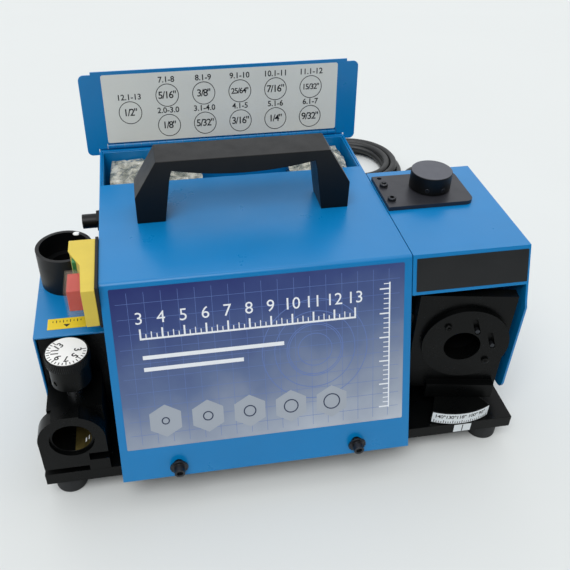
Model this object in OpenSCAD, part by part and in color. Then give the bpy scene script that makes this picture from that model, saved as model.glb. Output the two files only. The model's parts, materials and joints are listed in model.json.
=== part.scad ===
// Bench drill bit sharpener with a carrying handle, a storage bay, a length setting dial,
// a point thinning port on the left and a swivelling lip grinding port on the right.
// Sizes are in millimetres. Inside the model x = 0 is the middle of the main cover,
// y = 0 is the front edge of its deck and z = 0 is the top of the base plate.

/* [Base] */
// Base plate, from the middle of the cover to its left end
base_left = 146.5; // [135:0.5:170]
// Base plate, from the middle of the cover to its right end
base_right = 177.5; // [176:0.5:200]
// Base plate, from the deck's front edge forwards
base_front = 31.3; // [30:0.1:36]
// Base plate, from the deck's front edge backwards
base_back = 180; // [176:1:210]
// Thickness of the base plate
base_t = 9.5; // [8:0.5:14]
// Radius of a rubber foot
foot_r = 10.5; // [8:0.5:12]
// Height of a rubber foot
foot_h = 14; // [10:0.5:20]
// Foot centre from the end of the base plate
foot_inset_x = 14; // [12:0.5:20]
// Foot centre from the front or back of the base plate
foot_inset_y = 12.5; // [12:0.5:20]

/* [Main cover] */
// Width of the cover
cover_w = 192; // [188:1:192]
// Height of the cover above the base plate
cover_h = 127.5; // [124:0.5:136]
// Thickness of the sheet steel
sheet = 1.5; // [1:0.1:2]
// How far the front face leans out at its foot
slant_run = 45; // [40:0.5:46]
// Depth of the deck in front of the storage bay
deck_depth = 116; // [114:0.5:118]
// Depth of the storage bay's mouth
bay_depth = 52; // [48:0.5:53]
// Depth of the rear strip that carries the hinge
strip_depth = 6.5; // [6:0.5:8]
// Outer radius of the sheet's bends
bend_r = 3; // [2.2:0.2:5]
// Half width of the front label
label_half = 91; // [60:1:93]
// Foot of the front label along the sloping face
label_low = 22.8; // [16:0.1:60]
// Top of the front label along the sloping face
label_high = 131.4; // [90:0.1:131.6]
// Thickness of the printed labels
label_t = 0.2; // [0.1:0.05:0.4]
// Front screw, from the middle of the cover
front_screw_x = 59.4; // [30:0.1:80]
// Front screw, above the base plate
front_screw_z = 8; // [7:0.5:10]
// Radius of a front screw's head
front_head_r = 3.4; // [3:0.1:4]
// Length of a front screw's head
front_head_h = 5; // [4:0.5:7]
// Radius of a serrated washer
washer_r = 5.7; // [4.5:0.1:6.5]

/* [Handle] */
// Half width of the handle
handle_half = 71; // [66:0.5:78]
// Height of the handle above the deck
handle_h = 43.8; // [38:0.2:55]
// Depth of the handle
handle_d = 25; // [18:0.5:30]
// Front of the handle, behind the deck's front edge
handle_y = 62; // [56:1:70]
// Width of a leg at the deck
handle_leg = 18.5; // [16:0.5:22]
// Thickness of the grip at its ends
grip_t = 7; // [5:0.5:9]
// How much the grip swells towards its middle
grip_swell = 4.9; // [2:0.1:8]
// Width of the slope at each shoulder
shoulder_run = 15; // [10:0.5:18]
// Height of the slope at each shoulder
shoulder_drop = 24.8; // [18:0.2:30]

/* [Storage bay and lid] */
// Depth of the storage tray
tray_depth = 44; // [42:1:46]
// Wall of the storage tray
tray_wall = 1; // [0.8:0.1:2]
// Length of a collet
collet_l = 31; // [28:0.5:32]
// Largest radius of a collet
collet_r = 10.3; // [9:0.1:10.8]
// Length of the lid from its hinge
lid_len = 57; // [56:0.5:60]
// Thickness of the lid
lid_t = 1.2; // [1:0.1:1.6]
// How far the lid stands past each side of the cover
lid_wing = 9; // [5:0.5:12]
// Opening angle of the lid
lid_open = 96; // [92:1:110]
// Radius of a hinge knuckle
knuckle_r = 2.2; // [2:0.1:2.4]
// Length of a hinge knuckle
knuckle_l = 6.4; // [5:0.2:8]
// Number of hinge knuckles
knuckles = 28; // [20:2:28]
// Radius of the hinge pin
hinge_pin_r = 1.1; // [0.9:0.05:1.3]

/* [Left side] */
// Height of the left hood
left_hood_h = 84; // [83:0.5:90]
// Left hood, from the middle of the cover to its left wall
left_hood_x = 142; // [140:0.5:144]
// Front edge of the left hood
left_hood_front = 8.5; // [8.5:0.5:10]
// Rear of the left hood
left_hood_back = 100; // [96:1:110]
// Place of the thinning cup across the machine
cup_x = -121.2; // [-122:0.1:-119]
// Place of the thinning cup along the machine
cup_y = 67.6; // [62:0.1:70]
// Outer radius of the thinning cup
cup_r = 18.8; // [17:0.1:19.4]
// Height of the thinning cup above the hood
cup_h = 27.5; // [20:0.5:34]
// Radius of the ports that take the drill chuck
port_r = 12.2; // [10:0.1:12.4]
// Place of the dial across the machine
dial_x = -120.8; // [-122:0.1:-119]
// Place of the dial along the machine
dial_y = -6.2; // [-7:0.1:-6]
// Radius of the dial's head
dial_r = 13.8; // [12.8:0.1:13.8]
// Height of the dial's head
dial_head_h = 6.4; // [5:0.2:8]
// Radius of the dial's neck
dial_neck_r = 12.6; // [10:0.1:12.7]
// Height of the dial's neck
dial_neck_h = 16; // [12:0.5:18]
// Radius of the dial's spindle
spindle_r = 5; // [4:0.1:6]
// Place of the setting port across the machine
set_x = -124.6; // [-125:0.1:-124]
// Height of the setting port's axis
set_z = 30.4; // [29:0.1:31]
// Outer radius of the setting block's ring
set_ring_r = 21; // [19:0.1:21.5]
// Thickness of the setting block's front plate
set_plate_t = 10.6; // [8:0.2:12]
// Wall of the setting port's sleeve
set_sleeve_t = 1.8; // [1.2:0.1:2.2]
// Length of the setting port's sleeve
set_sleeve_l = 25; // [20:0.5:26]

/* [Right side] */
// Right hood, from the middle of the cover to its right wall
right_hood_x = 174.8; // [174:0.1:176]
// Rear of the right hood
right_hood_back = 104.5; // [100:0.5:110]
// How far the hood's front lip leans out
lip_run = 9; // [6:0.5:10]
// Height of the hood's front lip
lip_h = 25; // [20:0.5:25.5]
// Bottom of the hood's right wall
wall_low = 12; // [11.5:0.5:20]
// How far the hood's right wall reaches forwards
wall_front = 15; // [14:0.5:16]
// Width of the feed plate
feed_plate_w = 61; // [56:0.5:66]
// Depth of the feed plate
feed_plate_d = 42; // [38:0.5:44]
// Thickness of the feed plate
feed_plate_t = 3; // [2:0.2:4]
// Place of the feed knob across the machine
knob_x = 133.5; // [131:0.5:136]
// Place of the feed knob along the machine
knob_y = 75; // [72:0.5:77]
// Radius of the feed knob
knob_r = 14.3; // [12:0.1:16]
// Height of the feed knob
knob_h = 12.8; // [10:0.2:18]
// Radius of the feed screw
feed_screw_r = 4; // [3:0.1:5]

/* [Swivelling port] */
// Place of the swivel pivot across the machine
pivot_x = 139.3; // [139:0.1:140]
// Place of the swivel pivot along the machine
pivot_y = 15; // [14:0.5:15]
// Radius of the swivel's graduated edge
swivel_r = 47; // [46:0.2:48]
// Thickness of the swivel base
swivel_t = 10.6; // [9:0.2:11]
// Half angle of the swivel base
swivel_half = 27; // [24:1:28]
// Radius of the pivot bolt
pivot_r = 4; // [3:0.1:5]
// Angle of the port's face to the machine's front
port_yaw = 10; // [8:1:12]
// Left end of the port plate from its middle line
port_left = 31; // [30:0.5:32]
// Right end of the port plate from its middle line
port_right = 32; // [31.5:0.5:32.5]
// Bottom of the port plate
port_low = 16; // [14:0.5:20]
// Gap between the port plate and the lip of the right hood
port_gap = 4.5; // [1.5:0.5:8.5]
// Thickness of the port plate
port_t = 8; // [6:0.5:9]
// Radius of the port disc
disc_r = 29; // [27:0.2:29]
// Thickness of the port disc
disc_t = 4; // [3:0.2:5]
// Height of the port disc's centre
disc_z = 59.8; // [56:0.1:62]

/* [Motor] */
// Motor axis behind the deck's front edge
motor_y = 66; // [64:0.5:67]
// Motor axis above the base plate
motor_z = 54; // [52:0.5:55]
// Radius of the motor housing
motor_r = 44; // [42:0.5:45]
// Half length of the motor housing
motor_half = 70; // [64:1:76]
// Wall of the motor housing
motor_wall = 3; // [2:0.5:4]
// Radius of the motor shaft
shaft_r = 6; // [5:0.1:7]
// Outer radius of a bearing
bearing_r = 16; // [14:0.5:18]
// Width of a bearing
bearing_w = 10; // [8:0.5:12]
// Radius of the rotor
rotor_r = 22; // [18:0.5:26]
// Radius of the left grinding wheel
left_wheel_r = 24; // [18:0.5:26]
// Middle of the left grinding wheel
left_wheel_x = 121; // [120:0.5:122]
// Thickness of the left grinding wheel
left_wheel_t = 14; // [10:0.5:16]
// Radius of the right grinding wheel
right_wheel_r = 26; // [18:0.5:28]
// Middle of the right grinding wheel
right_wheel_x = 137; // [134:0.5:140]
// Thickness of the right grinding wheel
right_wheel_t = 18; // [12:0.5:20]

/* [Switch] */
// Front end of the switch, from the deck's front edge
switch_front = -6; // [-6:0.5:-2]
// Rear end of the switch
switch_back = 48.5; // [46:0.5:49]
// Depth of the switch housing's foot below the top of the cover
switch_drop = 26.5; // [24.5:0.5:28.5]
// Height of the switch housing
switch_h = 27; // [25:0.5:28]
// Travel of the two buttons
button_travel = 2.5; // [1.5:0.1:3]

/* [Power cord] */
// Radius of the cord
cord_r = 4; // [3:0.1:4]
// Place of the cord gland across the machine
gland_x = 40; // [20:1:60]
// Height of the cord gland
gland_z = 22; // [20:1:30]
// Middle radius of the coil of cord
coil_r = 46.5; // [40:0.5:60]
// Turns side by side in the coil
coil_turns = 3; // [2:1:4]

/* [Hidden] */
$fn = 64;
// gap between the parts of a running fit
fit = 0.05;
// gap between pieces that only lie near one another
gap = 0.3;
// how far a cut runs past the face that it opens
over = 1;
half_w = cover_w / 2;
floor_z = -base_t - foot_h;
cover_back = deck_depth + bay_depth + strip_depth;
slope = atan2(cover_h, slant_run);
front_len = norm([cover_h, slant_run]);
// the washers' back face touches the sloping sheet at their foot
washer_y = -slant_run * (1 - (front_screw_z - washer_r) / cover_h) - 0.1;
washer_t = 0.8;
fastener_front = -washer_y + washer_t + front_head_h;
front_shank_r = 2.5;
rail_h = 2 * front_screw_z;
rail_half = half_w - 8;
rail_back = 20;
hinge_y = cover_back - 2.8;
hinge_z = cover_h + knuckle_r + 0.2;
lid_under = -2;
lid_label_half = 88.8;
lid_label_end = 54.5;
leaf_t = 0.8;
leaf_len = 9;
tray_floor = cover_h - 0.5 - tray_depth;
leg_x = handle_half - handle_leg / 2;
leg_y = handle_y + handle_d / 2;
handle_screw_r = 3;
cup_step = 13;
cup_top_r = 16.3;
block_back = left_hood_front + 1.2;
block_top = set_z + set_ring_r - 2.4;
dial_top = left_hood_h;
dial_bottom = dial_top - dial_head_h - dial_neck_h - 0.6;
dial_face_t = 0.6;
set_bore_r = port_r + set_sleeve_t;
set_left = set_x - set_ring_r + 0.1;
set_right = set_x + set_ring_r;
spindle_low = set_z + set_bore_r + gap;
slide_y = -base_front + 2.3 + set_sleeve_l + gap;
face_x = 135;
face_y = -10;
hole_u = 1.6;
hole_z = 58.2;
disc_u = port_right - disc_r + 0.5;
hood_left = half_w + 0.5;
plate_left = hood_left + 0.5;
plate_y = knob_y - 23;
feed_screw_x = plate_left + 4.8;
wall_in = right_hood_x - sheet;
shaft_left = left_wheel_x + left_wheel_t / 2 + 9;
shaft_right = right_wheel_x + right_wheel_t / 2 + 9;
hub_t = 3;
nut_t = 5;
plate_x = half_w + 2;
guard_x = half_w + 18.8;
start_y = 36;
stop_y = 12.3;
switch_low = cover_h - switch_drop;
button_z = switch_low + switch_h / 2 - 0.1;
start_size = [9.6, 14];
stop_size = [18, 15.4];
button_in = plate_x + 1 + button_travel;
fuse_y = 92;
fuse_z = cover_h - 13.5;
gland_l = 30;
// turns side by side, with the next layer resting between them
coil_w = coil_turns * 2 * cord_r;
coil_h = 2 * cord_r * (1 + sin(60));
coil_x = 172;
coil_y = 376;
cord_z = floor_z + cord_r + 0.1;
plug_r = 18;
plug_l = 40;
plug_x = 158;
plug_y = 268;
plug_z = floor_z + plug_r + 0.1;
// route from the gland down to the floor and on to the coil
gland_route = [
  [gland_x, cover_back + gland_l + 0.2, gland_z], [gland_x, cover_back + gland_l + 4.5, gland_z],
  [40.5, 218, 20.7], [42, 228, 16], [45, 237, 6], [48, 246, -10], [52, 255, -16.9], [58, 264, cord_z],
  [71, 279, cord_z], [87, 292, cord_z], [106, 303, cord_z], [127, 311, cord_z],
  [coil_x - 19.5, coil_y - 59.7, cord_z]
];
// route from the coil round a loose loop to the plug
plug_route = [
  [coil_x + 54.5, coil_y - 31.3, cord_z], [234, 355.5, cord_z], [246, 362, cord_z], [260, 362, cord_z],
  [274, 357, cord_z], [285, 346, cord_z], [290, 331, cord_z], [288, 315, cord_z], [279, 301, cord_z],
  [265, 289, -18.4], [248, 279, -14.5], [232, 272, -8.5], [218, 268.5, -6],
  [plug_x + plug_l + 11, plug_y, plug_z], [plug_x + plug_l + 6.2, plug_y, plug_z]
];
grip_half = handle_half - handle_leg - 6;
grip_arc_r = (grip_half * grip_half + grip_swell * grip_swell) / (2 * grip_swell);
grip_arc_a = asin(grip_half / grip_arc_r);
grip_arc_z = cover_h + handle_h - grip_t - grip_swell + grip_arc_r;
grip_under = arc(0, grip_arc_z, grip_arc_r, 270 + grip_arc_a, 270 - grip_arc_a, 12);
tray_x = half_w - sheet - 0.2;
tray_y0 = deck_depth + 0.2;
tray_y1 = deck_depth + bay_depth - 0.2;
collet_row_y = [tray_y0 + tray_wall + collet_r + 1.5, tray_y1 - tray_wall - collet_r - 1.5];
collet_row_x = [-tray_x + 13, -tray_x + 37, -tray_x + 61, tray_x - 37, tray_x - 13];
leaf_half = knuckles * knuckle_l / 2;
lip_in = sheet * norm([lip_h, lip_run]) / lip_h - lip_run * sheet / lip_h;
bracket_half = 13.5;
bracket_depth = 28;
bracket_h = 36;
bracket_t = 3;
feed_nut_depth = 18;
swivel_low = 0.3;
swivel_top = swivel_low + swivel_t;
hub_r = 12;
port_screw_places = [[-10.3, 75.1], [19.3, 46.3]];
slot_places = [[[6.4, 80.5], [9.9, 70.7]], [[18.4, 69], [22, 58.7]]];
slot_w = 3.6;
pin_places = [slot_places[0][1], slot_places[1][1]];
pin_pitch = 19;
pin_r = 2.4;
capacitor_r = 15;
port_top = cover_h - lip_h - port_gap;

// points of a round stretch
function arc(x, y, r, a0, a1, n = 8) =
  [for (i = [0:n]) let (a = a0 + (a1 - a0) * i / n) [x + r * cos(a), y + r * sin(a)]];
// the sloping face's place at a height
function front_y(z) = -slant_run * (1 - z / cover_h);
// side outline of the folded cover, taken in by a wall
function cover_outline(wall) = concat(
  [[front_y(wall > 0 ? -over : 0) + wall / sin(slope), wall > 0 ? -over : 0]],
  arc(bend_r * tan(slope / 2), cover_h - bend_r, bend_r - wall, 90 + slope, 90),
  arc(cover_back - bend_r, cover_h - bend_r, bend_r - wall, 90, 0),
  [[cover_back - wall, wall > 0 ? -over : 0]]
);
// outline of the right hood's side wall
hood_side = concat(
  [[right_hood_back, wall_low], [right_hood_back, cover_h], [0, cover_h], [-lip_run, cover_h - lip_h]],
  [[-wall_front + 2, cover_h - lip_h - 11], [-wall_front, cover_h - lip_h - 15]],
  arc(-wall_front + 6, wall_low + 6, 6, 180, 270)
);
// outline of the yellow switch housing, seen from above
switch_outline = [
  [-plate_x, switch_front], [-plate_x - 8.1, switch_front], [-plate_x - 9.3, switch_front + 26.7],
  [-plate_x - 15.1, switch_front + 38.6], [-guard_x, switch_front + 43.1], [-guard_x, switch_back],
  [-plate_x, switch_back]
];

// moves the model's frame to the middle of its foot print
module place() translate([
  (base_left - base_right) / 2, (fastener_front - base_back) / 2, -floor_z
]) children();

module block(x0, x1, y0, y1, z0, z1) translate([x0, y0, z0]) cube([x1 - x0, y1 - y0, z1 - z0]);

module along_x(x0, x1, y, z, r) translate([x0, y, z]) rotate([0, 90, 0]) cylinder(r = r, h = x1 - x0);

module along_y(y0, y1, x, z, r) translate([x, y0, z]) rotate([-90, 0, 0]) cylinder(r = r, h = y1 - y0);

module upright(z0, z1, x, y, r) translate([x, y, z0]) cylinder(r = r, h = z1 - z0);

module side_sheet(x0, x1, points)
  translate([x0, 0, 0]) rotate([90, 0, 90]) linear_extrude(x1 - x0) polygon(points);

module front_sheet(y0, y1, points)
  translate([0, y1, 0]) rotate([90, 0, 0]) linear_extrude(y1 - y0) polygon(points);

module each_foot() {
  for (x = [-base_left + foot_inset_x, base_right - foot_inset_x])
    for (y = [-base_front + foot_inset_y, base_back - foot_inset_y])
      translate([x, y, 0]) children();
}

module each_side() for (side = [-1, 1]) translate([side * front_screw_x, 0, 0]) children();

// on the cover's sloping front: x across, y up the slope, z outwards
module on_front() translate([0, -slant_run, 0]) rotate([slope, 0, 0]) children();

// on the lip of the right hood
module on_lip() translate([0, -lip_run, cover_h - lip_h]) rotate([atan2(lip_h, lip_run), 0, 0]) children();

// the lid's own frame: y points back from its free edge, z up, as when it is closed
module on_lid() translate([0, hinge_y, hinge_z]) rotate([-lid_open, 0, 0]) children();

// the port's own frame: x across its face, y into it
module on_port() translate([face_x, face_y, 0]) rotate([0, 0, -port_yaw]) children();

module on_motor() translate([0, motor_y, motor_z]) rotate([0, 90, 0]) children();

module ring(r_out, r_in, h) difference() {
  cylinder(r = r_out, h = h);
  translate([0, 0, -over]) cylinder(r = r_in, h = h + 2 * over);
}

module base_plate() color("#26282a") place() difference() {
  block(-base_left, base_right, -base_front, base_back, -base_t, 0);
  each_foot() translate([0, 0, -base_t - over]) cylinder(r = 2.5 + fit, h = base_t - 2 + over);
  upright(-base_t - over, over, pivot_x, pivot_y, pivot_r + fit);
}

module rubber_feet() color("#17181a") place() each_foot() difference() {
  translate([0, 0, floor_z]) cylinder(r = foot_r, h = foot_h);
  translate([0, 0, floor_z - over]) cylinder(r = 2.7, h = foot_h + 2 * over);
  translate([0, 0, floor_z - over]) cylinder(r = 5.5, h = foot_h - 5 + over);
}

// bar on the base plate that takes the cover's front screws
module cover_rail() color("#3a3d40") place() difference() {
  side_sheet(-rail_half, rail_half, [
    [-rail_back, 0], [front_y(0) + sheet / sin(slope) + gap, 0],
    [front_y(rail_h) + sheet / sin(slope) + gap, rail_h], [-rail_back, rail_h]
  ]);
  each_side() along_y(-slant_run - over, -rail_back + over, 0, front_screw_z, front_shank_r + fit);
}

module main_cover() color("#1f78b8") place() difference() {
  side_sheet(-half_w, half_w, cover_outline(0));
  side_sheet(-half_w + sheet, half_w - sheet, cover_outline(sheet));
  block(
    -half_w + sheet, half_w - sheet, deck_depth, deck_depth + bay_depth, cover_h - 2 * sheet, cover_h + over
  );
  along_x(-half_w - over, half_w + over, motor_y, motor_z, 2 * shaft_r);
  each_side() along_y(-slant_run - over, -slant_run + 12, 0, front_screw_z, front_shank_r + 1);
  for (x = [-leg_x, leg_x]) upright(cover_h - 2 * sheet, cover_h + over, x, leg_y, handle_screw_r + gap);
  along_x(-half_w - over, -half_w + 2 * sheet, fuse_y, fuse_z, 5 + gap);
  along_y(cover_back - 2 * sheet, cover_back + over, gland_x, gland_z, 7 + gap);
  block(-half_w - over, -half_w + 2 * sheet, 10, 40, button_z - 8, button_z + 6);
  for (i = [0:6]) block(-70 + 14 * i, -62 + 14 * i, cover_back - 2 * sheet, cover_back + over, 50, 80);
}

module cover_fasteners() color("#2a2b2d") place() each_side() {
  along_y(washer_y - washer_t, washer_y, 0, front_screw_z, washer_r);
  difference() {
    along_y(-fastener_front, washer_y - washer_t, 0, front_screw_z, front_head_r);
    translate([0, -fastener_front - over, front_screw_z]) rotate([-90, 0, 0])
      cylinder(r = 2.2, h = 2.5 + over, $fn = 6);
  }
  along_y(washer_y, -rail_back - 4, 0, front_screw_z, front_shank_r);
}

module front_label() color("#8f9fc0") place() on_front()
  block(-label_half, label_half, label_low, label_high, 0, label_t);

module handle() color("#141516") place() difference() {
  front_sheet(handle_y, handle_y + handle_d, concat(
    [[-handle_half, cover_h], [-handle_half, cover_h + handle_h - shoulder_drop]],
    [[-handle_half + shoulder_run, cover_h + handle_h], [handle_half - shoulder_run, cover_h + handle_h]],
    [[handle_half, cover_h + handle_h - shoulder_drop], [handle_half, cover_h]],
    [[handle_half - handle_leg, cover_h], [handle_half - handle_leg - 4.5, cover_h + handle_h - grip_t - 6]],
    grip_under,
    [[-handle_half + handle_leg + 4.5, cover_h + handle_h - grip_t - 6], [-handle_half + handle_leg, cover_h]]
  ));
  for (x = [-leg_x, leg_x]) upright(cover_h - over, cover_h + 20, x, leg_y, handle_screw_r + fit);
}

// underside of the grip, a flat arc that hangs lowest in the middle

module storage_tray() color("#2f7fba") place() difference() {
  block(-tray_x, tray_x, tray_y0, tray_y1, tray_floor, cover_h - 0.5);
  block(
    -tray_x + tray_wall, tray_x - tray_wall, tray_y0 + tray_wall, tray_y1 - tray_wall,
    tray_floor + tray_wall, cover_h + over
  );
}

module collets() color("#b9bcbf") place()
  for (x = collet_row_x) for (y = collet_row_y) translate([x, y, tray_floor + tray_wall]) collet();

module collet() rotate_extrude() polygon([
  [3, 0], [collet_r - 3.5, 0], [collet_r - 0.4, collet_l - 9], [collet_r - 1.6, collet_l - 7.5],
  [collet_r - 1.6, collet_l - 6], [collet_r, collet_l - 6], [collet_r - 2, collet_l], [3, collet_l]
]);

// soft bags that lie on the collets
module collet_bags() color("#c9d2d6") place() {
  bag(-tray_x + 4, -tray_x + 74);
  bag(tray_x - 50, tray_x - 4);
}

module bag(x0, x1) hull() {
  bag_low = tray_floor + tray_wall + collet_l + 0.5;
  for (x = [x0 + 4, x1 - 4])
    for (y = [tray_y0 + 6, tray_y1 - 6])
      translate([x, y, bag_low + 3.5]) sphere(r = 3.5, $fn = 16);
  translate([(x0 + x1) / 2, (tray_y0 + tray_y1) / 2, bag_low + 5]) sphere(r = 5, $fn = 16);
}

module knuckle_row(first) {
  start = -knuckles * knuckle_l / 2;
  for (i = [first:2:knuckles - 1])
    translate([start + i * knuckle_l + 0.1, 0, 0]) children();
}

module knuckle() rotate([0, 90, 0]) ring(knuckle_r, hinge_pin_r + fit, knuckle_l - 0.2);

module body_hinge_leaf() color("#1f78b8") place() translate([0, hinge_y, hinge_z]) {
  wall = cover_back - hinge_y;
  difference() {
    union() {
      block(-leaf_half, leaf_half, wall + 0.05, wall + 0.05 + leaf_t, -10, 0.6);
      knuckle_row(0) block(0, knuckle_l - 0.2, 0, wall + leaf_t, -0.6, 0.6);
      knuckle_row(0) rotate([0, 90, 0]) cylinder(r = knuckle_r, h = knuckle_l - 0.2);
    }
    along_x(-leaf_half - over, leaf_half + over, 0, 0, hinge_pin_r + fit);
  }
}

module hinge_pin() color("#8f9396") place() along_x(-leaf_half, leaf_half, hinge_y, hinge_z, hinge_pin_r);

module lid_panel() color("#1f78b8") place() on_lid() {
  union() {
    block(-half_w, half_w, -lid_len, -knuckle_r - 0.4, lid_under, lid_under + lid_t);
    for (side = [-1, 1]) {
      inner = half_w + gap;
      outer = half_w + lid_wing;
      block(
        min(side * inner, side * outer), max(side * inner, side * outer), -lid_len + 2, 6,
        lid_under, lid_under + lid_t
      );
      block(
        min(side * (inner - 1), side * outer), max(side * (inner - 1), side * outer), -lid_len + 2, -6,
        lid_under, lid_under + lid_t
      );
    }
  }
}

module lid_hinge_leaf() color("#1f78b8") place() on_lid() difference() {
  union() {
    block(-leaf_half, leaf_half, -leaf_len, -knuckle_r - 0.4, lid_under + lid_t, lid_under + lid_t + leaf_t);
    knuckle_row(1)
      block(0, knuckle_l - 0.2, -knuckle_r - 0.5, 0, lid_under + lid_t, lid_under + lid_t + leaf_t);
    knuckle_row(1) rotate([0, 90, 0]) cylinder(r = knuckle_r, h = knuckle_l - 0.2);
  }
  along_x(-leaf_half - over, leaf_half + over, 0, 0, hinge_pin_r + fit);
}

module lid_label() color("#d9dde0") place() on_lid()
  block(-lid_label_half, lid_label_half, -lid_label_end, -knuckle_r - 1, lid_under - label_t, lid_under);

module left_hood() color("#1f78b8") place() difference() {
  block(-left_hood_x, -half_w - 0.4, left_hood_front, left_hood_back, 0, left_hood_h);
  block(
    -left_hood_x + sheet, -half_w + over, left_hood_front - over, left_hood_back - sheet,
    -over, left_hood_h - sheet
  );
  upright(left_hood_h - 2 * sheet, left_hood_h + over, cup_x, cup_y, port_r + 0.2);
}

module left_bracket() color("#191a1c") place() {
  y0 = block_back + gap;
  block(-left_hood_x + sheet + gap, -half_w - 1, y0, y0 + 4, 0, left_hood_h - sheet - 0.2);
  block(-left_hood_x + sheet + gap, -half_w - 1, y0 + 3, y0 + 18, 0, 6);
}

module thinning_cup() color("#191a1c") place() difference() {
  upright(left_hood_h, left_hood_h + cup_h, cup_x, cup_y, cup_r);
  upright(left_hood_h - over, left_hood_h + cup_h, cup_x, cup_y, port_r);
  upright(left_hood_h + cup_step, left_hood_h + cup_h + over, cup_x, cup_y, cup_top_r);
  along_x(cup_x - cup_r - over, cup_x, cup_y, left_hood_h + 19, 1.6);
}

module dial_knob() color("#191a1c") place() translate([dial_x, dial_y, 0]) difference() {
  union() {
    upright(dial_top - dial_face_t - dial_head_h, dial_top - dial_face_t, 0, 0, dial_r);
    upright(dial_bottom, dial_top - dial_face_t - dial_head_h, 0, 0, dial_neck_r);
  }
  upright(dial_bottom - over, dial_top - 8, 0, 0, spindle_r + fit);
  translate([0, 0, dial_bottom + 5]) rotate([0, 0, 225]) along_x(0, dial_neck_r + over, 0, 0, 1.6 + fit);
}

module dial_face() color("#eceeee") place()
  upright(dial_top - dial_face_t, dial_top, dial_x, dial_y, dial_r - 1.2);

module dial_spindle() color("#9a9da0") place()
  upright(spindle_low, dial_top - 8.2, dial_x, dial_y, spindle_r);

module dial_set_screw() color("#8f9396") place()
  translate([dial_x, dial_y, dial_bottom + 5]) rotate([0, 0, 225])
  along_x(spindle_r + fit, dial_neck_r - 1, 0, 0, 1.6);

module stop_slide() color("#9a9da0") place() along_y(slide_y, slide_y + 4, set_x, set_z, set_bore_r - gap);

module setting_block() color("#191a1c") place() difference() {
  union() {
    along_y(-base_front, -base_front + set_plate_t, set_x, set_z, set_ring_r);
    block(set_left, set_right, -base_front, -base_front + set_plate_t, 0, set_z);
    block(set_x - 9.9, set_x + 6.9, -base_front, -base_front + set_plate_t, set_z, set_z + set_ring_r + 0.1);
    block(set_left + 7.5, set_right, -base_front + set_plate_t - 0.01, block_back, 0, block_top);
  }
  along_y(-base_front - over, block_back + over, set_x, set_z, set_bore_r);
  block(set_left - over, set_x + 7.6, -base_front - over, -base_front + set_plate_t, -over, 5);
  block(set_x + 8.6, set_right + over, -base_front - over, -base_front + set_plate_t, 10, 16.6);
  upright(set_z, block_top + over, dial_x, dial_y, spindle_r + fit);
}

module setting_sleeve() color("#6b6338") place() difference() {
  along_y(-base_front + 2.3, -base_front + 2.3 + set_sleeve_l, set_x, set_z, set_bore_r - fit);
  along_y(-base_front, -base_front + 4 + set_sleeve_l, set_x, set_z, port_r);
}

module right_hood() color("#1f78b8") place() difference() {
  side_sheet(hood_left, right_hood_x, hood_side);
  side_sheet(hood_left - over, wall_in, [
    [right_hood_back - sheet, wall_low - over], [right_hood_back - sheet, cover_h - sheet],
    [lip_in, cover_h - sheet], [lip_in - lip_run * (lip_h - sheet) / lip_h, cover_h - lip_h],
    [-wall_front - over, cover_h - lip_h], [-wall_front - over, wall_low - over]
  ]);
  upright(cover_h - 2 * sheet, cover_h + over, knob_x, knob_y, feed_screw_r + gap);
  for (y = [plate_y + 9.6, plate_y + 28.3])
    upright(cover_h - 2 * sheet, cover_h + over, feed_screw_x, y, 1.6 + fit);
}

module hood_plaque() color("#17181a") place() on_lip()
  block(hood_left + 2.5, right_hood_x - 1.3, 2.2, 24, 0, label_t);

module feed_plate() color("#191a1c") place() difference() {
  corner = 6;
  translate([0, 0, cover_h]) linear_extrude(feed_plate_t) polygon(concat(
    [[plate_left, plate_y], [plate_left, plate_y + feed_plate_d]],
    arc(plate_left + feed_plate_w - corner, plate_y + feed_plate_d - corner, corner, 90, 0),
    arc(plate_left + feed_plate_w - corner, plate_y + corner, corner, 0, -90)
  ));
  upright(cover_h - over, cover_h + 2 * feed_plate_t, knob_x, knob_y, feed_screw_r + fit);
  for (y = [plate_y + 9.6, plate_y + 28.3, plate_y + 38.7])
    upright(cover_h - over, cover_h + 2 * feed_plate_t, feed_screw_x, y, 1.6 + fit);
}

// the screws of the feet, the handle and the feed plate
module screws() color("#8f9396") place() {
  each_foot() {
    translate([0, 0, -base_t - 8]) cylinder(r = 4.5, h = 3);
    translate([0, 0, -base_t - 5]) cylinder(r = 2.5, h = 5 + base_t - 2.5);
  }
  for (x = [-leg_x, leg_x]) {
    upright(cover_h - sheet - 4, cover_h - sheet, x, leg_y, 5);
    upright(cover_h - sheet, cover_h + 18, x, leg_y, handle_screw_r);
  }
  for (y = [plate_y + 9.6, plate_y + 28.3]) {
    upright(cover_h + feed_plate_t, cover_h + feed_plate_t + 2, feed_screw_x, y, 2.9);
    upright(cover_h - 5, cover_h + feed_plate_t, feed_screw_x, y, 1.6);
  }
}

module feed_bracket() color("#3a3d40") place() difference() {
  block(
    knob_x - bracket_half, knob_x + bracket_half, knob_y - bracket_depth / 2, knob_y + bracket_depth / 2,
    cover_h - bracket_h, cover_h - sheet
  );
  block(
    knob_x - bracket_half + bracket_t, knob_x + bracket_half - bracket_t,
    knob_y - bracket_depth / 2 - over, knob_y + bracket_depth / 2 + over,
    cover_h - bracket_h - over, cover_h - sheet - bracket_t
  );
  upright(cover_h - 10, cover_h + over, knob_x, knob_y, feed_screw_r + fit);
}

module feed_knob() color("#17181a") place() difference() {
  upright(cover_h + feed_plate_t + 0.2, cover_h + feed_plate_t + 0.2 + knob_h, knob_x, knob_y, knob_r);
  upright(cover_h, cover_h + feed_plate_t + knob_h - 2.8, knob_x, knob_y, feed_screw_r + fit);
}

module feed_screw() color("#8f9396") place()
  upright(cover_h - 35, cover_h + feed_plate_t + knob_h - 3, knob_x, knob_y, feed_screw_r);

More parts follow.
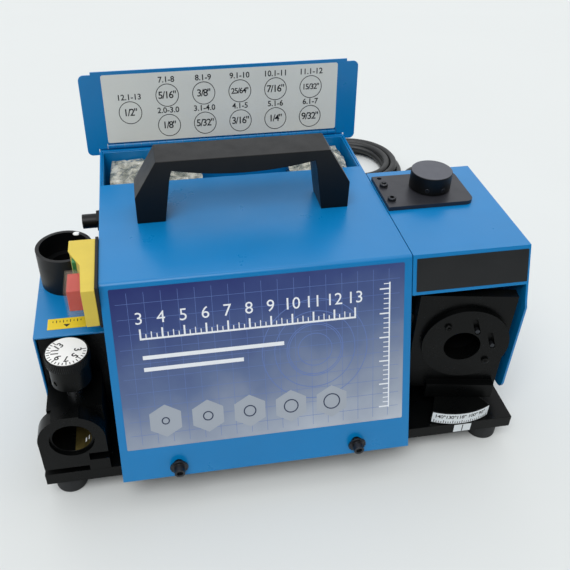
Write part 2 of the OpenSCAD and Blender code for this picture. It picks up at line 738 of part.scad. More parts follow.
module feed_nut() color("#e2e3e0") place() difference() {
  block(
    knob_x - bracket_half + bracket_t + 0.1, knob_x + bracket_half - bracket_t - 0.1,
    knob_y - feed_nut_depth / 2, knob_y + feed_nut_depth / 2, cover_h - 26, cover_h - 14
  );
  upright(cover_h - 30, cover_h, knob_x, knob_y, feed_screw_r + fit);
}

module swivel_base() color("#191a1c") place() translate([pivot_x, pivot_y, swivel_low]) difference() {
  union() {
    intersection() {
      cylinder(r = swivel_r, h = swivel_t);
      linear_extrude(swivel_t) polygon([
        [0, 0], [-swivel_r * tan(swivel_half), -swivel_r], [-swivel_r * tan(swivel_half), -2 * swivel_r],
        [swivel_r * tan(swivel_half), -2 * swivel_r], [swivel_r * tan(swivel_half), -swivel_r]
      ]);
    }
    cylinder(r = hub_r, h = swivel_t);
  }
  translate([0, 0, -over]) cylinder(r = pivot_r + fit, h = swivel_t + 2 * over);
}

module port_plate() color("#191a1c") place() on_port() difference() {
  union() {
    block(-port_left, port_right, 0, port_t, port_low, port_top);
    block(-17, 30, -5.5, port_t + 4, swivel_top, port_low + 7);
  }
  along_y(-over, port_t + over, hole_u, hole_z, port_r + 1.8);
  for (p = port_screw_places) along_y(-over, port_t - 2, p[0], p[1], 1.6 + fit);
}

module slot(from, to, width) {
  way = atan2(to[1] - from[1], to[0] - from[0]);
  polygon(concat(
    arc(from[0], from[1], width / 2, way + 90, way + 270, 10),
    arc(to[0], to[1], width / 2, way - 90, way + 90, 10)
  ));
}

module port_disc() color("#191a1c") place() on_port() difference() {
  union() {
    along_y(-disc_t, 0, disc_u, disc_z, disc_r);
    along_y(-disc_t, port_t, hole_u, hole_z, port_r + 1.75);
  }
  along_y(-disc_t - over, port_t + over, hole_u, hole_z, port_r);
  for (s = slot_places)
    rotate([90, 0, 0]) translate([0, 0, -over]) linear_extrude(disc_t + 2 * over) slot(s[0], s[1], slot_w);
  for (p = port_screw_places) along_y(-disc_t - over, over, p[0], p[1], 1.6 + fit);
}

module port_screws() color("#6d7073") place() on_port() for (p = port_screw_places) {
  along_y(-disc_t - 1.6, -disc_t, p[0], p[1], 3);
  along_y(-disc_t, port_t - 2.5, p[0], p[1], 1.6);
}

module guide_pins() color("#b9bcbf") place() on_port() for (p = pin_places)
  along_y(-disc_t + 0.5, 0, p[0], p[1], 1.7);

module angle_scale() color("#d9dde0") place() translate([pivot_x, pivot_y, swivel_low + 0.8])
  rotate([0, 0, 270 - swivel_half + 1]) rotate_extrude(angle = 2 * swivel_half - 2)
    translate([swivel_r + 0.02, 0]) square([label_t + 0.1, swivel_t - 1.4]);

// the yellow label on the left hood and the pointer under the angle scale
module small_labels() color("#e8c51e") place() {
  block(
    dial_x - 12.7, dial_x + 11.5, left_hood_front + 6.5, left_hood_front + 17,
    left_hood_h, left_hood_h + label_t
  );
  block(pivot_x - 4.3, pivot_x + 8.2, -base_front - label_t, -base_front, -8.5, -1.5);
}

module pivot_bolt() color("#6d7073") place() {
  upright(-base_t + 1, swivel_top + gap, pivot_x, pivot_y, pivot_r);
  upright(swivel_top + gap, swivel_top + gap + 5, pivot_x, pivot_y, pivot_r + 3.5);
}

module motor_housing() color("#4a4f54") place() difference() {
  union() {
    along_x(-motor_half, motor_half, motor_y, motor_z, motor_r);
    block(-motor_half + 20, motor_half - 20, motor_y - 30, motor_y + 30, 0, motor_z - motor_r + 12);
  }
  along_x(-motor_half - over, motor_half + over, motor_y, motor_z, motor_r - motor_wall);
}

module end_shields() color("#7b8084") place() for (side = [0, 180])
  translate([0, motor_y, motor_z]) rotate([0, 0, side]) rotate([0, 90, 0]) difference() {
    union() {
      translate([0, 0, motor_half]) cylinder(r = motor_r, h = 4);
      translate([0, 0, motor_half - 6]) cylinder(r = bearing_r + 4, h = bearing_w + 2);
    }
    translate([0, 0, motor_half - 6 - over]) cylinder(r = bearing_r + 0.02, h = bearing_w + 2 + 2 * over);
  }

module stator() color("#5b4a3a") place() translate([-motor_half / 2, 0, 0]) on_motor()
  ring(motor_r - motor_wall - fit, rotor_r + gap, motor_half);

module rotor() color("#8f9396") place() translate([-motor_half / 2 - 2, 0, 0]) on_motor()
  ring(rotor_r, shaft_r + fit, motor_half + 4);

module motor_shaft() color("#b9bcbf") place() along_x(-shaft_left, shaft_right, motor_y, motor_z, shaft_r);

module bearings() color("#c4c7ca") place() for (x = [-motor_half - bearing_w / 2, motor_half - bearing_w / 2])
  translate([x, 0, 0]) on_motor() ring(bearing_r, shaft_r + fit, bearing_w);

module grinding_wheels() color("#a9a59a") place() {
  translate([-left_wheel_x - left_wheel_t / 2, 0, 0]) on_motor() ring(left_wheel_r, shaft_r + fit, left_wheel_t);
  translate([right_wheel_x - right_wheel_t / 2, 0, 0]) on_motor() ring(right_wheel_r, shaft_r + fit, right_wheel_t);
}

module wheel_flanges() color("#8f9396") place() {
  flange_set(right_wheel_x, right_wheel_t);
  rotate([0, 0, 180]) translate([0, -2 * motor_y, 0]) flange_set(left_wheel_x, left_wheel_t);
}

module flange_set(x, t) {
  for (x0 = [x - t / 2 - hub_t, x + t / 2]) translate([x0, 0, 0]) on_motor() ring(11, shaft_r + fit, hub_t);
  translate([x + t / 2 + hub_t, 0, 0]) on_motor() difference() {
    cylinder(r = 10, h = nut_t, $fn = 6);
    translate([0, 0, -over]) cylinder(r = shaft_r + fit, h = nut_t + 2 * over);
  }
}

module switch_plate() color("#191a1c") place() difference() {
  block(-plate_x, -half_w, switch_front, switch_back, switch_low - 1.5, switch_low + switch_h + 1.5);
  block(-plate_x - over, -half_w + over, 10, 40, button_z - 8, button_z + 6);
}

module button_block(x0, x1, y, size)
  block(x0, x1, y - size[0] / 2, y + size[0] / 2, button_z - size[1] / 2, button_z + size[1] / 2);

module button_cut(y, size) button_block(-guard_x - over, -plate_x - 1, y, size);

module switch_housing() color("#e0c21c") place() difference() {
  translate([0, 0, switch_low]) linear_extrude(switch_h) polygon(switch_outline);
  button_cut(start_y, start_size + [0.6, 0.6]);
  button_cut(stop_y, stop_size + [0.6, 0.6]);
}

module start_button() color("#3f8f4f") place()
  button_block(-half_w - 16.5, -button_in, start_y, start_size);

module stop_button() color("#b8322c") place()
  button_block(-half_w - 19.5, -button_in, stop_y, stop_size);

module button_boot() color("#d8c9b0", 0.5) place() difference() {
  block(-half_w - 21.5, -half_w - 9, stop_y - 11.5, stop_y + 12, button_z - 10.3, button_z + 10.3);
  block(-half_w - 20.7, -half_w - 8, stop_y - 10.7, stop_y + 11.2, button_z - 9.5, button_z + 9.5);
  translate([-0.1, 0, switch_low - over]) linear_extrude(switch_h + 2 * over) polygon(switch_outline);
}

module fuse_holder() color("#17181a") place() {
  along_x(-half_w - 13, -half_w + 24, fuse_y, fuse_z, 5);
  translate([-half_w - 3, fuse_y, fuse_z]) rotate([0, 90, 0]) cylinder(r = 8, h = 3, $fn = 6);
}

module cord_gland() color("#17181a") place() difference() {
  union() {
    along_y(cover_back, cover_back + 5, gland_x, gland_z, 11);
    along_y(cover_back - 8, cover_back + 6, gland_x, gland_z, 7);
    translate([gland_x, cover_back + 5, gland_z]) rotate([-90, 0, 0]) cylinder(r1 = 6.6, r2 = cord_r + 1, h = gland_l - 5);
  }
  along_y(cover_back - 9, cover_back + 6, gland_x, gland_z, cord_r + 0.2);
}

// a tube along a route, with flat ends square to it
function route_way(p, i) = let (a = p[max(i - 1, 0)], b = p[min(i + 1, len(p) - 1)]) (b - a) / norm(b - a);
function route_side(d) = let (s = cross(d, [0, 0, 1])) s / norm(s);
module tube(p, r, sides = 10) {
  points = [
    for (i = [0:len(p) - 1])
      let (d = route_way(p, i), s = route_side(d), u = cross(s, d))
        for (k = [0:sides - 1]) p[i] + r * (cos(360 * k / sides) * s + sin(360 * k / sides) * u)
  ];
  last = (len(p) - 1) * sides;
  faces = concat(
    [[for (k = [0:sides - 1]) k]], [[for (k = [sides - 1:-1:0]) last + k]],
    [for (i = [0:len(p) - 2]) for (k = [0:sides - 1])
      [i * sides + k, (i + 1) * sides + k, (i + 1) * sides + (k + 1) % sides, i * sides + (k + 1) % sides]]
  );
  polyhedron(points, faces);
}

module power_cord() color("#141516") place() {
  tube(gland_route, cord_r);
  tube(plug_route, cord_r);
}

module cord_coil() color("#141516") place() translate([coil_x, coil_y, floor_z + 0.1]) rotate_extrude()
  translate([coil_r - coil_w / 2, 0]) square([coil_w, coil_h]);

module plug() color("#141516") place() translate([plug_x, plug_y, plug_z]) {
  difference() {
    rotate([0, 90, 0]) rotate_extrude() polygon([
      [0, 0], [plug_r, 0], [plug_r, plug_l * 0.45], [plug_r * 0.62, plug_l * 0.75], [plug_r * 0.4, plug_l],
      [plug_r * 0.4, plug_l + 6], [0, plug_l + 6]
    ]);
    for (side = [-1, 1]) along_x(-over, 8, side * pin_pitch / 2, 0, pin_r + fit);
  }
  for (side = [-1, 1]) along_x(-19, 7.5, side * pin_pitch / 2, 0, pin_r);
}

// run capacitor of the motor, lying on the base plate behind the sloping front
module capacitor() color("#8f9396") place() along_x(-30, 25, 0, capacitor_r + 0.05, capacitor_r);

base_plate();
rubber_feet();
cover_rail();
main_cover();
cover_fasteners();
front_label();
handle();
screws();
storage_tray();
collets();
collet_bags();
body_hinge_leaf();
hinge_pin();
lid_panel();
lid_hinge_leaf();
lid_label();
left_hood();
left_bracket();
thinning_cup();
dial_knob();
dial_face();
dial_spindle();
dial_set_screw();
stop_slide();
setting_block();
setting_sleeve();
right_hood();
hood_plaque();
feed_plate();
feed_bracket();
feed_knob();
feed_screw();
feed_nut();
swivel_base();
port_plate();
port_disc();
port_screws();
guide_pins();
angle_scale();
small_labels();
pivot_bolt();
motor_housing();
end_shields();
stator();
rotor();
motor_shaft();
bearings();
grinding_wheels();
wheel_flanges();
capacitor();
switch_plate();
switch_housing();
start_button();
stop_button();
button_boot();
fuse_holder();
cord_gland();
power_cord();
cord_coil();
plug();
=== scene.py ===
"""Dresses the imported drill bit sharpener: finishes, printed scales, knurls, crinkled bags and its cord."""

import json
import math
from functools import cache

import bmesh
import bpy
from bpy.props import FloatProperty, FloatVectorProperty, IntProperty, PointerProperty
from mathutils import Matrix, Vector, noise


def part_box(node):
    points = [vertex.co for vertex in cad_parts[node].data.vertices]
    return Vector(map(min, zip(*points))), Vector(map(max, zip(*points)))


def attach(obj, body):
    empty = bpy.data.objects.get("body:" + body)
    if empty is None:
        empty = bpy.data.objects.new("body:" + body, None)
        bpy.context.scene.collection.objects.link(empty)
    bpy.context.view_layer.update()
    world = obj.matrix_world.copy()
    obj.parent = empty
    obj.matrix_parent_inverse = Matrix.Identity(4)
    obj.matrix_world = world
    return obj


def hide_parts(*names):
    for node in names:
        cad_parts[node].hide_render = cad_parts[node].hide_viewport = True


bl_info = {
    "name": "Drill bit sharpener",
    "version": (1, 0, 0),
    "blender": (4, 5, 0),
    "location": "View3D > Sidebar > Sharpener",
    "description": "Models the looks of a bench drill bit sharpener on its construction",
    "category": "Object",
}

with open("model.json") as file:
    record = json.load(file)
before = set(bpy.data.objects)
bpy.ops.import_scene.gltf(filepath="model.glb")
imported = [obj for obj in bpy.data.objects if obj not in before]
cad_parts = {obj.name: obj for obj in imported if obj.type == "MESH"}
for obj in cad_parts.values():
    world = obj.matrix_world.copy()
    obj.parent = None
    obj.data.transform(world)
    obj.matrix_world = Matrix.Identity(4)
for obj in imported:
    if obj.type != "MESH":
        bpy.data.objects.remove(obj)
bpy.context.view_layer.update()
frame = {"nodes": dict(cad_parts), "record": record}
NODES = frame["nodes"]
BODY_OF = {node: body for body, nodes in frame["record"]["behaviour"]["bodies"].items() for node in nodes}
SLOT_OF = {part["node"]: part["material_slot"] for part in frame["record"]["subparts"]}
MM = 0.001


def linear(hex_colour):
    """An sRGB hex colour as linear red, green and blue."""
    parts = [int(hex_colour[i:i + 2], 16) / 255 for i in (1, 3, 5)]
    return [p / 12.92 if p <= 0.04045 else ((p + 0.055) / 1.055) ** 2.4 for p in parts]


def length(name, millimetres, description):
    """A length that can be set, given in millimetres."""
    return FloatProperty(name=name, description=description, default=millimetres * MM, unit="LENGTH")


def colour(name, hex_colour, description):
    """A colour that can be set, given as sRGB hex."""
    return FloatVectorProperty(
        name=name, description=description, subtype="COLOR", size=3, default=linear(hex_colour),
    )


class SharpenerSizes(bpy.types.PropertyGroup):
    """Sizes of the details that the finishes add"""

    sheet_edge: length("Sheet edge", 0.9, "Rounding of the folded sheet steel's edges")
    cast_edge: length("Casting edge", 0.5, "Broken edges of the machined castings")
    moulded_edge: length("Moulded edge", 1.4, "Rounding of the moulded plastic's edges")
    fine_edge: length("Fine edge", 0.25, "Broken edges of small turned parts")
    knurl_teeth: IntProperty(
        name="Knurl teeth", description="Teeth round the dial's knurled head", default=72, min=12,
    )
    knurl_depth: length("Knurl depth", 0.35, "Depth of the dial's knurl")
    wing_corner: length("Wing corner", 4, "Corner radius of the lid's wings")
    washer_teeth: IntProperty(name="Washer teeth", description="Teeth round a serrated washer", default=18, min=6)
    crinkle: length("Crinkle", 3.0, "Height of the creases in the collet bags")
    ink: length("Ink", 0.03, "Thickness of printed marks")
    cord: length("Cord", 8, "Diameter of the power cord")
    print_t: length("Label thickness", 0.2, "Thickness of the printed labels")


class SharpenerColours(bpy.types.PropertyGroup):
    """Colours of the main finishes"""

    enamel: colour("Enamel", "#0077B6", "Blue stove enamel")
    casting: colour("Casting", "#060707", "Black enamel of the castings")
    moulding: colour("Moulding", "#0A0B0C", "Black moulded plastic")
    switch: colour("Switch", "#D2BA40", "Yellow of the switch housing")
    floor: colour("Floor", "#D6D9D8", "Pale floor and backdrop")


def sizes():
    """The sizes as they are set now."""
    return bpy.context.scene.sharpener_sizes


def colours():
    """The colours as they are set now."""
    return bpy.context.scene.sharpener_colours


# ---------------------------------------------------------------- pieces

def at(x, y, z):
    """A shift to a point."""
    return Matrix.Translation((x, y, z))


def turn_about(axis, degrees):
    """A turn about an axis."""
    return Matrix.Rotation(math.radians(degrees), 4, axis)


def facing(point, direction):
    """A place at a point whose Z axis looks along a direction."""
    return Matrix.Translation(point) @ direction.to_track_quat("Z", "Y").to_matrix().to_4x4()


def piece(name, bm, body, material, smooth=35.0):
    """Makes a bmesh an object at the origin that rides on a body."""
    mesh = bpy.data.meshes.new(name)
    for face in bm.faces:
        face.smooth = True
    bm.to_mesh(mesh)
    bm.free()
    mesh.set_sharp_from_angle(angle=math.radians(smooth))
    mesh.materials.append(material)
    obj = bpy.data.objects.new(name, mesh)
    bpy.context.scene.collection.objects.link(obj)
    # flat faces keep their own normals beside the rounded edges
    flat = obj.modifiers.new("flat_faces", "WEIGHTED_NORMAL")
    flat.keep_sharp = True
    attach(obj, body)
    return obj


def cad_copy(node):
    """A node's triangles as a merged bmesh with its flat faces whole."""
    bm = bmesh.new()
    bm.from_mesh(NODES[node].data)
    bmesh.ops.remove_doubles(bm, verts=bm.verts, dist=0.002 * MM)
    bmesh.ops.dissolve_limit(bm, angle_limit=math.radians(0.6), verts=bm.verts, edges=bm.edges)
    return bm


def bevel(bm, edges, width, segments):
    """Bevels edges to a round."""
    bmesh.ops.bevel(
        bm, geom=edges, offset=width, offset_type="OFFSET", segments=segments, profile=0.5,
        affect="EDGES", clamp_overlap=True, material=-1,
    )


def round_edges(bm, width, angle=28.0, segments=2, keep=None):
    """Bevels the edges that turn by more than an angle."""
    edges = [e for e in bm.edges if len(e.link_faces) == 2 and e.calc_face_angle() > math.radians(angle)]
    if keep:
        edges = [e for e in edges if keep(e)]
    bevel(bm, edges, width, segments)


def stand_for(node, bm, material, smooth=35.0):
    """Makes a bmesh the piece that stands for a node."""
    obj = piece(node + "_finished", bm, BODY_OF[node], material, smooth)
    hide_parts(node)
    return obj


def rounded(node, width, material, segments=2, angle=28.0, keep=None):
    """Stands for a node with a copy of it whose edges are broken."""
    bm = cad_copy(node)
    round_edges(bm, width, angle, segments, keep)
    return stand_for(node, bm, material)


def turned(profile, steps=48, matrix=None):
    """A closed turned solid from (radius, height) points, spun about Z."""
    bm = bmesh.new()
    verts = [bm.verts.new((r, 0, z)) for r, z in profile]
    edges = [bm.edges.new(pair) for pair in zip(verts, verts[1:])]
    bmesh.ops.spin(
        bm, geom=verts + edges, cent=(0, 0, 0), axis=(0, 0, 1), angle=2 * math.pi, steps=steps, use_merge=True,
    )
    bmesh.ops.remove_doubles(bm, verts=bm.verts, dist=0.001 * MM)
    bmesh.ops.recalc_face_normals(bm, faces=bm.faces)
    if matrix:
        bmesh.ops.transform(bm, matrix=matrix, verts=bm.verts)
    return bm


def round_part(node):
    """Lowest and highest corner, middle and radius of a round part."""
    low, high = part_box(node)
    return low, high, (low + high) / 2, (high.x - low.x) / 2


def islands(bm):
    """The connected parts of a bmesh, each as a list of vertices."""
    seen, found = set(), []
    for start in bm.verts:
        if start in seen:
            continue
        seen.add(start)
        part, fresh = [], [start]
        while fresh:
            vert = fresh.pop()
            part.append(vert)
            for edge in vert.link_edges:
                other = edge.other_vert(vert)
                if other not in seen:
                    seen.add(other)
                    fresh.append(other)
        found.append(part)
    return found


def box_of(verts):
    """Lowest and highest corner of some vertices."""
    places = [v.co for v in verts]
    low = Vector([min(p[i] for p in places) for i in range(3)])
    high = Vector([max(p[i] for p in places) for i in range(3)])
    return low, high


def part_boxes(node):
    """Lowest and highest corner of each solid of a node."""
    bm = cad_copy(node)
    boxes = sorted((box_of(part) for part in islands(bm)), key=lambda box: box[0].to_tuple(4))
    bm.free()
    return boxes


def socket_head(bm, radius, height, socket, matrix, steps=24):
    """A screw head with a hexagon socket, standing on a matrix's XY plane."""
    rings = []
    for count, r, z in (
        (steps, radius, 0), (steps, radius, height * 0.85), (steps, radius * 0.9, height), (6, socket, height),
        (6, socket, height * 0.35),
    ):
        ring = bmesh.ops.create_circle(bm, segments=count, radius=r, matrix=matrix @ at(0, 0, z))["verts"]
        rings.append(list(dict.fromkeys(e for v in ring for e in v.link_edges)))
    for one, two in zip(rings, rings[1:]):
        bmesh.ops.bridge_loops(bm, edges=one + two)
    bmesh.ops.holes_fill(bm, edges=rings[0] + rings[-1], sides=0)
    bmesh.ops.recalc_face_normals(bm, faces=bm.faces)


def raise_face(bm, face, shift):
    """Extrudes a face by a shift."""
    raised = bmesh.ops.extrude_face_region(bm, geom=[face])["geom"]
    bmesh.ops.translate(bm, vec=shift, verts=[g for g in raised if isinstance(g, bmesh.types.BMVert)])
    bmesh.ops.recalc_face_normals(bm, faces=bm.faces)


def knurl(bm, radius, depth, teeth, z0, z1):
    """A straight knurl: a ring of ridges round Z between two heights."""
    made = bmesh.ops.create_circle(bm, cap_ends=True, segments=2 * teeth, radius=radius, matrix=at(0, 0, z0))
    for i, vert in enumerate(made["verts"]):
        if i % 2:
            vert.co.xy *= 1 - depth / radius
    raise_face(bm, made["verts"][0].link_faces[0], (0, 0, z1 - z0))


def add_into(bm, other):
    """Adds another bmesh's faces to a bmesh."""
    mesh = bpy.data.meshes.new("part")
    other.to_mesh(mesh)
    other.free()
    bm.from_mesh(mesh)
    bpy.data.meshes.remove(mesh)


def bar(bm, size, matrix):
    """A box of a size, centred on a matrix."""
    made = bmesh.ops.create_cube(bm, size=1, matrix=matrix @ Matrix.Diagonal((*size, 1)))
    return made["verts"]


def words(text, height, matrix, bm, depth, spread=1.0, bold=0.0):
    """Adds printed figures, centred on a matrix's XY plane."""
    curve = bpy.data.curves.new("figures", "FONT")
    curve.body = text
    curve.size = height
    curve.space_character = spread
    curve.align_x = "CENTER"
    curve.align_y = "CENTER"
    curve.extrude = depth / 2
    curve.offset = bold
    curve.resolution_u = 3
    obj = bpy.data.objects.new("figures", curve)
    mesh = bpy.data.meshes.new_from_object(obj)
    mesh.transform(matrix @ at(0, 0, depth / 2))
    cut = bmesh.new()
    cut.from_mesh(mesh)
    bmesh.ops.remove_doubles(cut, verts=cut.verts, dist=0.0005 * MM)
    bmesh.ops.recalc_face_normals(cut, faces=cut.faces)
    add_into(bm, cut)
    bpy.data.objects.remove(obj)
    bpy.data.curves.remove(curve)
    bpy.data.meshes.remove(mesh)


def circle_line(bm, radius, width, depth, matrix, steps=40):
    """A printed ring."""
    inner, outer = radius - width / 2, radius + width / 2
    outline = [(outer, 0), (outer, depth), (inner, depth), (inner, 0), (outer, 0)]
    add_into(bm, turned(outline, steps, matrix))


def stripe(bm, plane, x, y, wide, tall, thick):
    """A printed stripe on a plane, placed and sized in millimetres."""
    bar(bm, (wide * MM, tall * MM, thick), on(plane, x * MM, y * MM, lift=thick / 2))


def second_finish(obj, material, chosen):
    """Gives the chosen faces of a piece another material."""
    obj.data.materials.append(material)
    for face in obj.data.polygons:
        face.material_index = int(chosen(face))


def slab_plane(node, thickness):
    """The outer face of a thin slab that leans back: a matrix at its lower left corner, and its width and height."""
    low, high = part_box(node)
    lean = math.atan2(high.z - low.z, high.y - low.y)
    for _ in range(3):
        rise = high.z - low.z - thickness * math.cos(lean)
        run = high.y - low.y - thickness * math.sin(lean)
        lean = math.atan2(rise, run)
    up = Vector((0, math.cos(lean), math.sin(lean)))
    out = Vector((0, -math.sin(lean), math.cos(lean)))
    corner = Vector((low.x, low.y, low.z + thickness * math.cos(lean)))
    matrix = Matrix.Translation(corner) @ Matrix((Vector((1, 0, 0)), up, out)).transposed().to_4x4()
    return matrix, high.x - low.x, math.hypot(rise, run)


def on(matrix, x, y, turn=0.0, lift=0.0):
    """A place on a plane, turned about its normal and lifted off it."""
    return matrix @ at(x, y, lift) @ Matrix.Rotation(turn, 4, "Z")


# ---------------------------------------------------------------- materials

def add(tree, kind, settings=None, **inputs):
    """Adds a node, sets its settings, and gives each input a value or another node's socket."""
    made = tree.nodes.new(kind)
    for key, value in (settings or {}).items():
        setattr(made, key, value)
    for key, value in inputs.items():
        socket = made.inputs[int(key[1:])] if key[0] == "_" else made.inputs[key.replace("_", " ")]
        if isinstance(value, bpy.types.NodeSocket):
            tree.links.new(value, socket)
        else:
            socket.default_value = value
    return made


def new_material(name, **settings):
    """A material with its shader, and the tree to build it in."""
    material = bpy.data.materials.new(name)
    material.use_nodes = True
    tree = material.node_tree
    tree.nodes.clear()
    shader = add(tree, "ShaderNodeBsdfPrincipled", **settings)
    add(tree, "ShaderNodeOutputMaterial", _0=shader.outputs[0])
    return material, tree, shader


def rgba(colour, factor=1.0):
    """A colour made lighter or darker, with alpha."""
    return [min(1, max(0, c * factor)) for c in colour[:3]] + [1]


def mottled(tree, coords, low, high, size_mm, detail=4.0, contrast=0.25):
    """A colour that drifts between two over patches of a size."""
    patches = add(tree, "ShaderNodeTexNoise", Vector=coords, Scale=1 / (size_mm * MM), Detail=detail, Roughness=0.6)
    ramp = add(tree, "ShaderNodeValToRGB", _0=patches.outputs["Fac"])
    ramp.color_ramp.elements[0].position = 0.5 - contrast
    ramp.color_ramp.elements[1].position = 0.5 + contrast
    ramp.color_ramp.elements[0].color = low
    ramp.color_ramp.elements[1].color = high
    return ramp.outputs["Color"]


def grain_bump(tree, coords, size_mm, height_mm, strength=0.3, detail=2.0):
    """A fine bump of a grain size."""
    grain = add(tree, "ShaderNodeTexNoise", Vector=coords, Scale=1 / (size_mm * MM), Detail=detail)
    bump = add(tree, "ShaderNodeBump", Strength=strength, Distance=height_mm * MM, Height=grain.outputs["Fac"])
    return bump.outputs["Normal"]


def varied(tree, coords, low, high, size_mm):
    """A roughness that drifts between two values."""
    patches = add(tree, "ShaderNodeTexNoise", Vector=coords, Scale=1 / (size_mm * MM), Detail=5.0, Roughness=0.65)
    spread = add(
        tree, "ShaderNodeMapRange", Value=patches.outputs["Fac"], From_Min=0.3, From_Max=0.7, To_Min=low, To_Max=high,
    )
    return spread.outputs["Result"]


def surface(name, colour, low, high, size_mm, grain_mm, grain_h, metallic=0.0, tone=0.12, strength=0.3, **settings):
    """A finish whose tone and roughness, from low to high, drift over patches, with a fine grain."""
    material, tree, shader = new_material(name, Metallic=metallic, **settings)
    coords = add(tree, "ShaderNodeTexCoord").outputs["Object"]
    for socket, pattern in (
        ("Base Color", mottled(tree, coords, rgba(colour, 1 - tone), rgba(colour, 1 + tone), size_mm)),
        ("Roughness", varied(tree, coords, low, high, size_mm * 0.6)),
        ("Normal", grain_bump(tree, coords, grain_mm, grain_h, strength)),
    ):
        tree.links.new(pattern, shader.inputs[socket])
    return material


@cache
def stove_enamel():
    """Sprayed and baked enamel on sheet steel: a fairly glossy coat with a faint orange peel."""
    return surface("stove_enamel", colours().enamel, 0.26, 0.38, 60, 1.6, 0.06, tone=0.05, strength=0.1)


@cache
def casting_enamel():
    """Black enamel brushed on machined iron: glossy, slightly uneven, so highlights wander."""
    return surface(
        "casting_enamel", colours().casting, 0.22, 0.4, 30, 2.4, 0.12, tone=0.25, strength=0.3,
        Specular_IOR_Level=0.13,
    )


@cache
def moulded_black():
    """Black polyamide from a sparked mould: matt with a fine grain that dulls highlights."""
    return surface(
        "moulded_black", colours().moulding, 0.34, 0.48, 25, 0.9, 0.05, tone=0.15, strength=0.3,
        Specular_IOR_Level=0.28,
    )


@cache
def foot_rubber():
    """Black rubber: dull, with a faint bloom."""
    return surface("foot_rubber", linear("#202224"), 0.7, 0.85, 12, 0.8, 0.05, tone=0.2)


@cache
def cord_sheath():
    """Extruded soft PVC: satin black with a faint grain."""
    return surface("cord_sheath", linear("#141617"), 0.38, 0.5, 20, 1.0, 0.04, tone=0.2)


@cache
def turned_steel():
    """Turned steel: bright, with fine tool marks."""
    return surface("turned_steel", linear("#B4B7BA"), 0.2, 0.36, 9, 0.35, 0.02, metallic=1.0, tone=0.08)


@cache
def black_oxide():
    """Oil-blacked steel: dark with a dull metallic gleam."""
    return surface("black_oxide", linear("#3A3C40"), 0.3, 0.5, 6, 0.4, 0.02, metallic=0.85, tone=0.2)


@cache
def old_brass():
    """Tarnished brass: olive under oil and dust, with a dull gleam."""
    return surface("old_brass", linear("#75683A"), 0.35, 0.6, 8, 0.6, 0.03, metallic=0.8, tone=0.25)


@cache
def die_cast():
    """Die-cast alloy: pale grey and slightly frosted."""
    return surface("die_cast", linear("#9DA1A4"), 0.4, 0.55, 15, 0.9, 0.05, metallic=0.9, tone=0.08)


@cache
def shell_paint():
    """Sprayed paint on a rolled steel shell: plain grey and matt."""
    return surface("shell_paint", linear("#555B60"), 0.45, 0.6, 30, 1.2, 0.05, tone=0.1)


@cache
def varnished_winding():
    """Varnished copper windings and laminations: brown with fine turns."""
    return surface("varnished_winding", linear("#7A4524"), 0.3, 0.45, 6, 1.0, 0.2, tone=0.3, metallic=0.3)


@cache
def abrasive_grit():
    """Bonded abrasive: dull grey-brown, with coarse sharp grit that takes no highlight."""
    return surface("abrasive_grit", linear("#4E4A44"), 0.8, 0.95, 4, 0.5, 0.3, tone=0.25, strength=0.8)


@cache
def switch_plastic():
    """Yellow switch housing: glossy moulded plastic with a dusty grain."""
    return surface("switch_plastic", colours().switch, 0.3, 0.42, 20, 0.8, 0.04, tone=0.06)


@cache
def button_green():
    """Green moulded ABS: an even colour with a soft gloss."""
    return surface("button_green", linear("#2E7D45"), 0.3, 0.4, 10, 0.8, 0.03, tone=0.08)


@cache
def button_red():
    """Red moulded ABS: an even colour with a soft gloss."""
    return surface("button_red", linear("#C61E18"), 0.3, 0.42, 10, 0.8, 0.03, tone=0.08)


@cache
def clear_boot():
    """Clear soft PVC: a faint brown haze over the stop button, with a wet gleam."""
    material, tree, shader = new_material("clear_boot", IOR=1.5, Alpha=0.1, Roughness=0.15)
    coords = add(tree, "ShaderNodeTexCoord").outputs["Object"]
    haze = mottled(tree, coords, rgba(linear("#8F8272")), rgba(linear("#C8BCA8")), 7, contrast=0.3)
    tree.links.new(haze, shader.inputs["Base Color"])
    tree.links.new(grain_bump(tree, coords, 3.0, 0.3, 0.4), shader.inputs["Normal"])
    return material


@cache
def crinkled_film():
    """Clear polythene film: its colour drifts in patches between grey-green, a painted shade, and bright cream, a
    painted highlight, over broken creases.
    """
    material, tree, shader = new_material(
        "crinkled_film", IOR=1.5, Alpha=0.62, Roughness=0.12, Coat_Weight=1.0, Coat_Roughness=0.06,
    )
    coords = add(tree, "ShaderNodeTexCoord").outputs["Object"]
    # patches of painted shade (dark grey-green) and painted highlight (bright cream) in the film's colour
    painted_shade_and_highlights = mottled(tree, coords, rgba(linear("#4E5A52")), rgba(linear("#F2EFDF")), 7, detail=6, contrast=0.15)
    tree.links.new(painted_shade_and_highlights, shader.inputs["Base Color"])
    tree.links.new(grain_bump(tree, coords, 5.0, 2.2, 1.0, detail=6), shader.inputs["Normal"])
    return material


@cache
def printed(name, hex_colour, low=0.35, high=0.5):
    """Printed vinyl of one colour: even and slightly glossy, with a faint pebble."""
    return surface(name, linear(hex_colour), low, high, 30, 1.4, 0.03, tone=0.03, strength=0.15)


def navy_ink():
    """Navy printing ink: even and nearly matt."""
    return printed("navy_ink", "#1B2A4A")


def black_ink():
    """Black printing ink: even and nearly matt, so that figures stay crisp."""
    return printed("black_ink", "#0C0D0F")


def pale_ink():
    """White printing ink, a little bluish where the ground shows through."""
    return printed("pale_ink", "#E8ECF1")


def chart_vinyl():
    """Printed grey vinyl: pale and a little silvery."""
    return printed("chart_vinyl", "#DCDED8", 0.3, 0.42)


def scale_vinyl():
    """Printed white vinyl: near white, slightly glossy."""
    return printed("scale_vinyl", "#DDE3E6")


def yellow_vinyl():
    """Bright yellow vinyl: even, slightly glossy."""
    return printed("yellow_vinyl", "#E3C61C")


def black_vinyl():
    """Black vinyl sheet: plain, with a soft even sheen."""
    return printed("black_vinyl", "#16181A", 0.3, 0.45)


